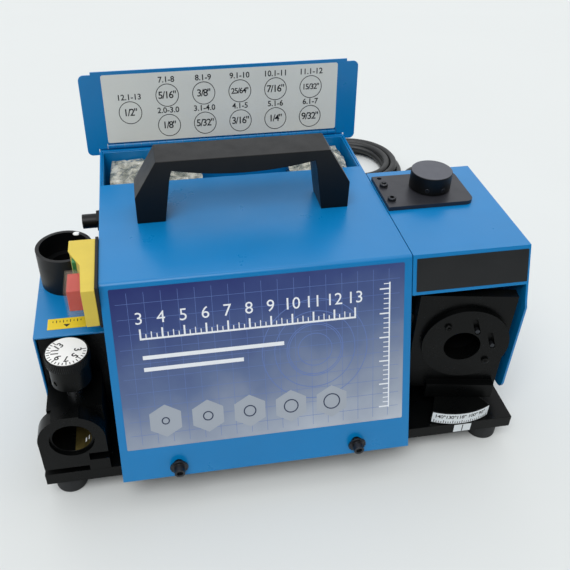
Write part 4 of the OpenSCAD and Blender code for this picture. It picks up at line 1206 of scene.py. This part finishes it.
class SHARPENER_OT_swivel_head(bpy.types.Operator):
    """Swivelling head: base, plate, disc with its guide slots, and the angle scale"""

    bl_idname = "sharpener.swivel_head"
    bl_label = "Swivelling head"

    def execute(self, context):
        s = sizes()
        for node in ("swivel_base", "port_plate"):
            rounded(node, s.cast_edge, casting_enamel())
        rounded("port_disc", 0.6 * MM, casting_enamel())
        rounded("guide_pins", s.fine_edge, black_oxide())
        port = next(m for m in frame["record"]["mounts"] if m["name"] == "lip_port")
        out = Vector(port["axis"])
        # the bore goes on behind the plate as a thin black sleeve
        bore, depth = port["dims"]["r_mm"] * MM, port["dims"]["length_mm"] * MM
        wall, reach = 1.6 * MM, 24 * MM
        back = facing(Vector(port["pos_m"]) - out * depth, -out)
        tube = turned([(bore, 0), (bore + wall, 0), (bore + wall, reach), (bore, reach), (bore, 0)], 48, back)
        piece("port_sleeve", tube, "swivel_head", moulded_black())
        screws = bmesh.new()
        shanks = cad_copy("port_screws")
        tall = 1.6 * MM
        for part in islands(shanks):
            nearest = max(v.co.dot(out) for v in part)
            face = [v.co for v in part if v.co.dot(out) > nearest - 0.01 * MM]
            middle = sum(face, Vector()) / len(face) - out * tall
            socket_head(screws, 2.4 * MM, tall, 1.2 * MM, facing(middle, out))
            for vert in part:
                vert.co -= out * max(0, vert.co.dot(out) - nearest + 1.05 * tall)
        add_into(screws, shanks)
        stand_for("port_screws", screws, casting_enamel())
        rounded("angle_scale", 0.05 * MM, scale_vinyl())

        pivot = round_part("pivot_bolt")[2]
        scale_low, scale_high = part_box("angle_scale")
        radius = pivot.y - scale_low.y
        marks = bmesh.new()
        height = scale_high.z - scale_low.z

        def around(angle, up):
            """A place on the scale, at an angle and a height."""
            turn = turn_about("Z", angle) @ at(0, -radius, 0) @ turn_about("X", 90)
            return at(pivot.x, pivot.y, scale_low.z + up) @ turn

        for figure, angle in (("140°", -19.5), ("130°", -10.5), ("118°", -1.5), ("100°", 9), ("90°", 18)):
            words(figure, 4.4 * MM, around(angle, height * 0.68), marks, s.ink, 0.9, 0.08 * MM)
        for i in range(25):
            tall = 2.8 * MM if i % 4 == 0 else 1.8 * MM
            bar(marks, (0.5 * MM, tall, s.ink), around(-24 + 2 * i, 0.3 * MM + tall / 2) @ at(0, 0, s.ink / 2))
        piece("angle_scale_print", marks, "swivel_head", black_ink())
        return {"FINISHED"}


# ---------------------------------------------------------------- switch, base and insides

class SHARPENER_OT_switch(bpy.types.Operator):
    """Switch: yellow housing, green start button and red stop button under a clear cover"""

    bl_idname = "sharpener.switch"
    bl_label = "Switch"

    def execute(self, context):
        # the start button and its pocket reach up and forward, to where the housing slopes out
        low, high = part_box("start_button")
        near, up, forward, slope = 0.5 * MM, 5.2 * MM, 4.8 * MM, 0.487
        for node, material in (("switch_housing", switch_plastic()), ("start_button", button_green())):
            bm = cad_copy(node)
            for vert in bm.verts:
                x, y, z = vert.co
                if low.y - near < y < high.y + near and low.z - near < z < high.z + near:
                    vert.co.z += up * (abs(z - high.z) < near)
                    if abs(y - low.y) < near:
                        vert.co.y -= forward
                        vert.co.x += slope * forward * (node == "switch_housing" and x < (low.x + high.x) / 2)
            round_edges(bm, 0.5 * MM)
            stand_for(node, bm, material)
        rounded("switch_plate", 0.4 * MM, moulded_black())
        rounded("stop_button", 0.8 * MM, button_red(), segments=3)
        # the clear cover sits close round the stop button
        bm = cad_copy("button_boot")
        low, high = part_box("button_boot")
        for vert in bm.verts:
            vert.co.x += 0.6 * MM * (vert.co.x < (low.x + high.x) / 2)
            vert.co.y -= 2.0 * MM * (vert.co.y > (low.y + high.y) / 2)
            vert.co.z -= 0.8 * MM * (vert.co.z > (low.z + high.z) / 2)
        round_edges(bm, 0.35 * MM)
        stand_for("button_boot", bm, clear_boot())
        return {"FINISHED"}


class SHARPENER_OT_base(bpy.types.Operator):
    """Base plate, rubber feet and the rail behind the front screws"""

    bl_idname = "sharpener.base"
    bl_label = "Base"

    def execute(self, context):
        s = sizes()
        rounded("base_plate", 1.1 * MM, casting_enamel(), segments=3)
        rounded("rubber_feet", 1.0 * MM, foot_rubber(), segments=3)
        rounded("cover_rail", s.cast_edge, casting_enamel())
        return {"FINISHED"}


class SHARPENER_OT_finishes(bpy.types.Operator):
    """Gives each part that keeps its own shape the finish of its material"""

    bl_idname = "sharpener.finishes"
    bl_label = "Finishes"

    def execute(self, context):
        for node, obj in NODES.items():
            obj.data.materials.clear()
            obj.data.materials.append(FINISH_OF_SLOT[SLOT_OF[node]]())
        for node in ("wheel_flanges", "motor_shaft"):
            NODES[node].data.materials[0] = black_oxide()
        return {"FINISHED"}


class SHARPENER_OT_stage(bpy.types.Operator):
    """Plain pale floor, soft light from above and an even surround"""

    bl_idname = "sharpener.stage"
    bl_label = "Stage"

    def execute(self, context):
        scene = context.scene
        bm = bmesh.new()
        bmesh.ops.create_grid(bm, x_segments=1, y_segments=1, size=6.0)
        mesh = bpy.data.meshes.new("floor")
        bm.to_mesh(mesh)
        bm.free()
        floor = bpy.data.objects.new("floor", mesh)
        scene.collection.objects.link(floor)
        mesh.materials.append(pale_floor())

        key = bpy.data.lights.new("key", "SUN")
        key.energy = 1.7
        key.angle = math.radians(40)
        lamp = bpy.data.objects.new("key", key)
        lamp.matrix_world = facing(Vector(), Vector((-0.25, -0.5, 0.85)))
        scene.collection.objects.link(lamp)

        world = bpy.data.worlds.new("surround")
        world.use_nodes = True
        tree = world.node_tree
        tree.nodes.clear()
        # soft light that is brightest high up behind the machine and fades to the front
        coords = add(tree, "ShaderNodeTexCoord").outputs["Generated"]
        lean = add(
            tree, "ShaderNodeVectorMath", {"operation": "DOT_PRODUCT"}, _0=coords, _1=Vector((0.1, 0.62, 0.78)),
        )
        level = add(
            tree, "ShaderNodeMapRange", Value=lean.outputs["Value"], From_Min=-0.3, From_Max=1.0, To_Min=0.04,
            To_Max=1.3,
        )
        light = add(tree, "ShaderNodeBackground", Color=rgba(linear("#F6F8FA")), Strength=level.outputs[0])
        backdrop = add(tree, "ShaderNodeBackground", Color=rgba(linear("#EDF1F2")), Strength=1.0)
        seen = add(tree, "ShaderNodeLightPath").outputs["Is Camera Ray"]
        mixed = add(tree, "ShaderNodeMixShader", _0=seen, _1=light.outputs[0], _2=backdrop.outputs[0])
        add(tree, "ShaderNodeOutputWorld", _0=mixed.outputs[0])
        scene.world = world
        scene.view_settings.view_transform = "Standard"
        return {"FINISHED"}


class SHARPENER_PT_panel(bpy.types.Panel):
    """Lists the sizes, the colours and the steps"""

    bl_idname = "SHARPENER_PT_panel"
    bl_label = "Drill bit sharpener"
    bl_space_type = "VIEW_3D"
    bl_region_type = "UI"
    bl_category = "Sharpener"

    def draw(self, context):
        layout = self.layout
        for group in (context.scene.sharpener_sizes, context.scene.sharpener_colours):
            for name in group.bl_rna.properties.keys():
                if name not in ("rna_type", "name"):
                    layout.prop(group, name)
        for step in STEPS:
            layout.operator(step.bl_idname)


STEPS = (
    SHARPENER_OT_camera, SHARPENER_OT_cord, SHARPENER_OT_finishes, SHARPENER_OT_base, SHARPENER_OT_cover,
    SHARPENER_OT_front_label, SHARPENER_OT_handle, SHARPENER_OT_lid, SHARPENER_OT_bay, SHARPENER_OT_left_side,
    SHARPENER_OT_dial, SHARPENER_OT_setting_port, SHARPENER_OT_right_side, SHARPENER_OT_swivel_head,
    SHARPENER_OT_switch, SHARPENER_OT_stage,
)
CLASSES = (SharpenerSizes, SharpenerColours, *STEPS, SHARPENER_PT_panel)


def register():
    for cls in CLASSES:
        bpy.utils.register_class(cls)
    bpy.types.Scene.sharpener_sizes = PointerProperty(type=SharpenerSizes)
    bpy.types.Scene.sharpener_colours = PointerProperty(type=SharpenerColours)


def unregister():
    del bpy.types.Scene.sharpener_sizes
    del bpy.types.Scene.sharpener_colours
    for cls in reversed(CLASSES):
        bpy.utils.unregister_class(cls)


def main():
    register()
    for step in STEPS:
        category, name = step.bl_idname.split(".")
        getattr(getattr(bpy.ops, category), name)()


if __name__ == "__main__":
    main()
